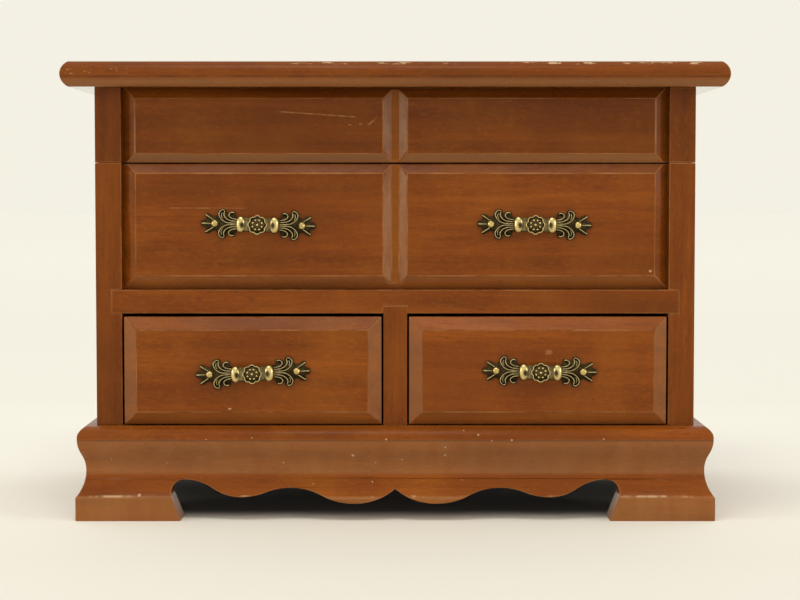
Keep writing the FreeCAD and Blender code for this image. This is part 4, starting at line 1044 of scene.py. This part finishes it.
def pull_place(node):
    """Middle of a pull where it meets the wood."""
    low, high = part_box(node)
    across, upward = PULL_SLIPS[node]
    return Vector(((low.x + high.x) / 2 + across * MM, high.y, (low.z + high.z) / 2 + upward * MM))


def make_pulls():
    """One casting, shown four times."""
    casting = Casting()
    add_leaves(casting)
    add_bridge(casting)
    add_knuckles(casting)
    add_rosette(casting)
    mesh = casting.finish("filigree_pull")
    mesh.materials.append(antique_brass())
    for node, body in PULL_BODIES.items():
        stand_in(f"{node}_filigree", mesh.copy(), node, body,
                 pull_place(node), math.radians(PULL_TILTS[node]))


def make_nails():
    """Round nail heads on the pulls."""
    metal = bright_brass("nail_brass", NAIL_DULL)
    for node, body, pulls in NAILS:
        heads = Casting()
        for pull in pulls:
            middle = pull_place(pull) / MM
            turn = math.radians(PULL_TILTS[pull])
            for reach in (NAIL_PLACE, -NAIL_PLACE):
                heads.dome(middle.x + reach * math.cos(turn), middle.z - reach * math.sin(turn),
                           PLATE_TOP + NAIL_SEAT - middle.y, NAIL_HEAD, 1.0, 0.4, 10, 20)
        mesh = heads.finish(f"{node}_heads")
        mesh.materials.append(metal)
        stand_in(f"{node}_heads", mesh, node, body)


# Velvet pads: how far the upper edges are drawn in, and how finely a pad is divided
PAD_EDGE = 0.0006
PAD_CUTS = 10


def padded_block(name, low, high, crown, seed):
    """A soft block with drawn-in upper edges, a crown on top and a slightly uneven surface."""
    size = high - low
    shape = bmesh.new()
    bmesh.ops.create_cube(shape, size=1.0)
    for point in shape.verts:
        point.co = Vector(point.co[axis] * size[axis] for axis in range(3))
    bmesh.ops.subdivide_edges(shape, edges=shape.edges[:], cuts=PAD_CUTS, use_grid_fill=True)
    draw = random.Random(seed)
    phase = [draw.uniform(0, 6.28) for _ in range(2)]
    for point in shape.verts:
        if point.co.z <= 0:
            continue
        across, deep, upward = (abs(point.co[axis]) / (size[axis] / 2) for axis in range(3))
        swell = (1 - across ** 4) * (1 - deep ** 4)
        ripple = 0.5 + 0.25 * (math.sin(point.co.x * 160 + phase[0])
                               + math.sin(point.co.y * 190 + phase[1]))
        point.co.z -= crown * (1 - swell * (0.8 + 0.2 * ripple))
        if point.co.z > 0:
            point.co.x *= 1 - PAD_EDGE / size.x * upward ** 6
            point.co.y *= 1 - PAD_EDGE / size.y * upward ** 6
    mesh = bpy.data.meshes.new(name)
    shape.to_mesh(mesh)
    shape.free()
    for face in mesh.polygons:
        face.use_smooth = True
    mesh.materials.append(velvet(f"velvet_{name}", seed))
    return mesh


def pad_over(node, body, name, crown, seed):
    """A velvet floor pad in the place of a lining sheet."""
    low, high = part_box(node)
    mesh = padded_block(name, low, high, crown, seed)
    piece = stand_in(name, mesh, node, body, (low + high) / 2)


def wall_linings():
    """The compartment's four lined walls as one sleeve of velvet over card."""
    low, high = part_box("wall_lining")
    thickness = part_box("floor_lining")[0].x - low.x
    outer_ring = [(low.x, low.y), (high.x, low.y), (high.x, high.y), (low.x, high.y)]
    inner_ring = [(low.x + thickness, low.y + thickness), (high.x - thickness, low.y + thickness),
                  (high.x - thickness, high.y - thickness), (low.x + thickness, high.y - thickness)]
    shape = bmesh.new()
    rings = []
    for ring, z in ((outer_ring, low.z), (outer_ring, high.z), (inner_ring, high.z), (inner_ring, low.z)):
        rings.append([shape.verts.new((x, y, z)) for x, y in ring])
    skin(shape, rings + rings[:1])
    mesh = mesh_of(shape, "compartment_wall_lining")
    mesh.materials.append(velvet("velvet_walls", 31))
    piece = stand_in("compartment_wall_lining", mesh, "wall_lining", "case")


# Ring rolls: how many, how they are divided, the length of a rounded end, how far the ends draw in,
# the height of the waves along the top, the sag and the half width of the foot as a share
ROLL_COUNT = 4
ROLL_STATIONS = 36
ROLL_AROUND = 20
ROLL_END = 0.004
ROLL_DRAWN_IN = 0.07
ROLL_WAVE = 0.00018
ROLL_SAG = 0.0002
ROLL_FOOT = 0.97
ROLL_SHAPE_SEED = 60
ROLL_VELVET_SEED = 70


def roll_ring(shape, low, high, along, phase):
    """The points round a roll at a share of its length."""
    length, depth, height = high - low
    radius = depth / 2
    x = low.x + along * length
    middle = low.y + radius
    end = min(along, 1 - along) * length
    round_off = math.sqrt(max(0.0, 1 - max(0.0, 1 - end / ROLL_END) ** 2))
    squeeze = 1 - ROLL_DRAWN_IN + ROLL_DRAWN_IN * round_off
    wave = ROLL_WAVE * math.sin(along * 23 + phase)
    ring = []
    for step in range(ROLL_AROUND + 1):
        angle = math.pi * step / ROLL_AROUND
        y = math.cos(angle) * radius * squeeze
        z = height - radius + math.sin(angle) * radius * squeeze + wave * math.sin(angle) - ROLL_SAG
        ring.append(shape.verts.new((x, middle + y, low.z + z)))
    for side in (-1, 1):
        ring.append(shape.verts.new((x, middle + side * radius * ROLL_FOOT, low.z)))
    return ring


def ring_rolls():
    """Velvet rolls with rounded ends and a soft crown."""
    for number in range(1, ROLL_COUNT + 1):
        node = f"ring_roll_{number}"
        low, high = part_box(node)
        phase = random.Random(ROLL_SHAPE_SEED + number).uniform(0, 6.28)
        shape = bmesh.new()
        rings = []
        for station in range(ROLL_STATIONS + 1):
            rings.append(roll_ring(shape, low, high, station / ROLL_STATIONS, phase))
        skin_and_ends(shape, rings)
        mesh = mesh_of(shape, f"{node}_velvet")
        for face in mesh.polygons:
            face.use_smooth = len(face.vertices) == 4
        mesh.materials.append(velvet(f"velvet_{node}", ROLL_VELVET_SEED + number))
        piece = stand_in(f"{node}_velvet", mesh, node, "case")


def make_linings():
    pad_over("floor_lining", "case", "compartment_floor_pad", 0.0002, 11)
    pad_over("lid_lining", "lid", "lid_lining_pad", 0.0, 12)
    pad_over("left_drawer_lining", "left_drawer", "left_drawer_pad", 0.0003, 13)
    pad_over("right_drawer_lining", "right_drawer", "right_drawer_pad", 0.0003, 14)
    wall_linings()
    ring_rolls()


make_camera()
make_light()
make_floor()
dress_boards()
dress_hardware()
make_pulls()
make_nails()
make_linings()
scene.view_settings.view_transform = "Standard"
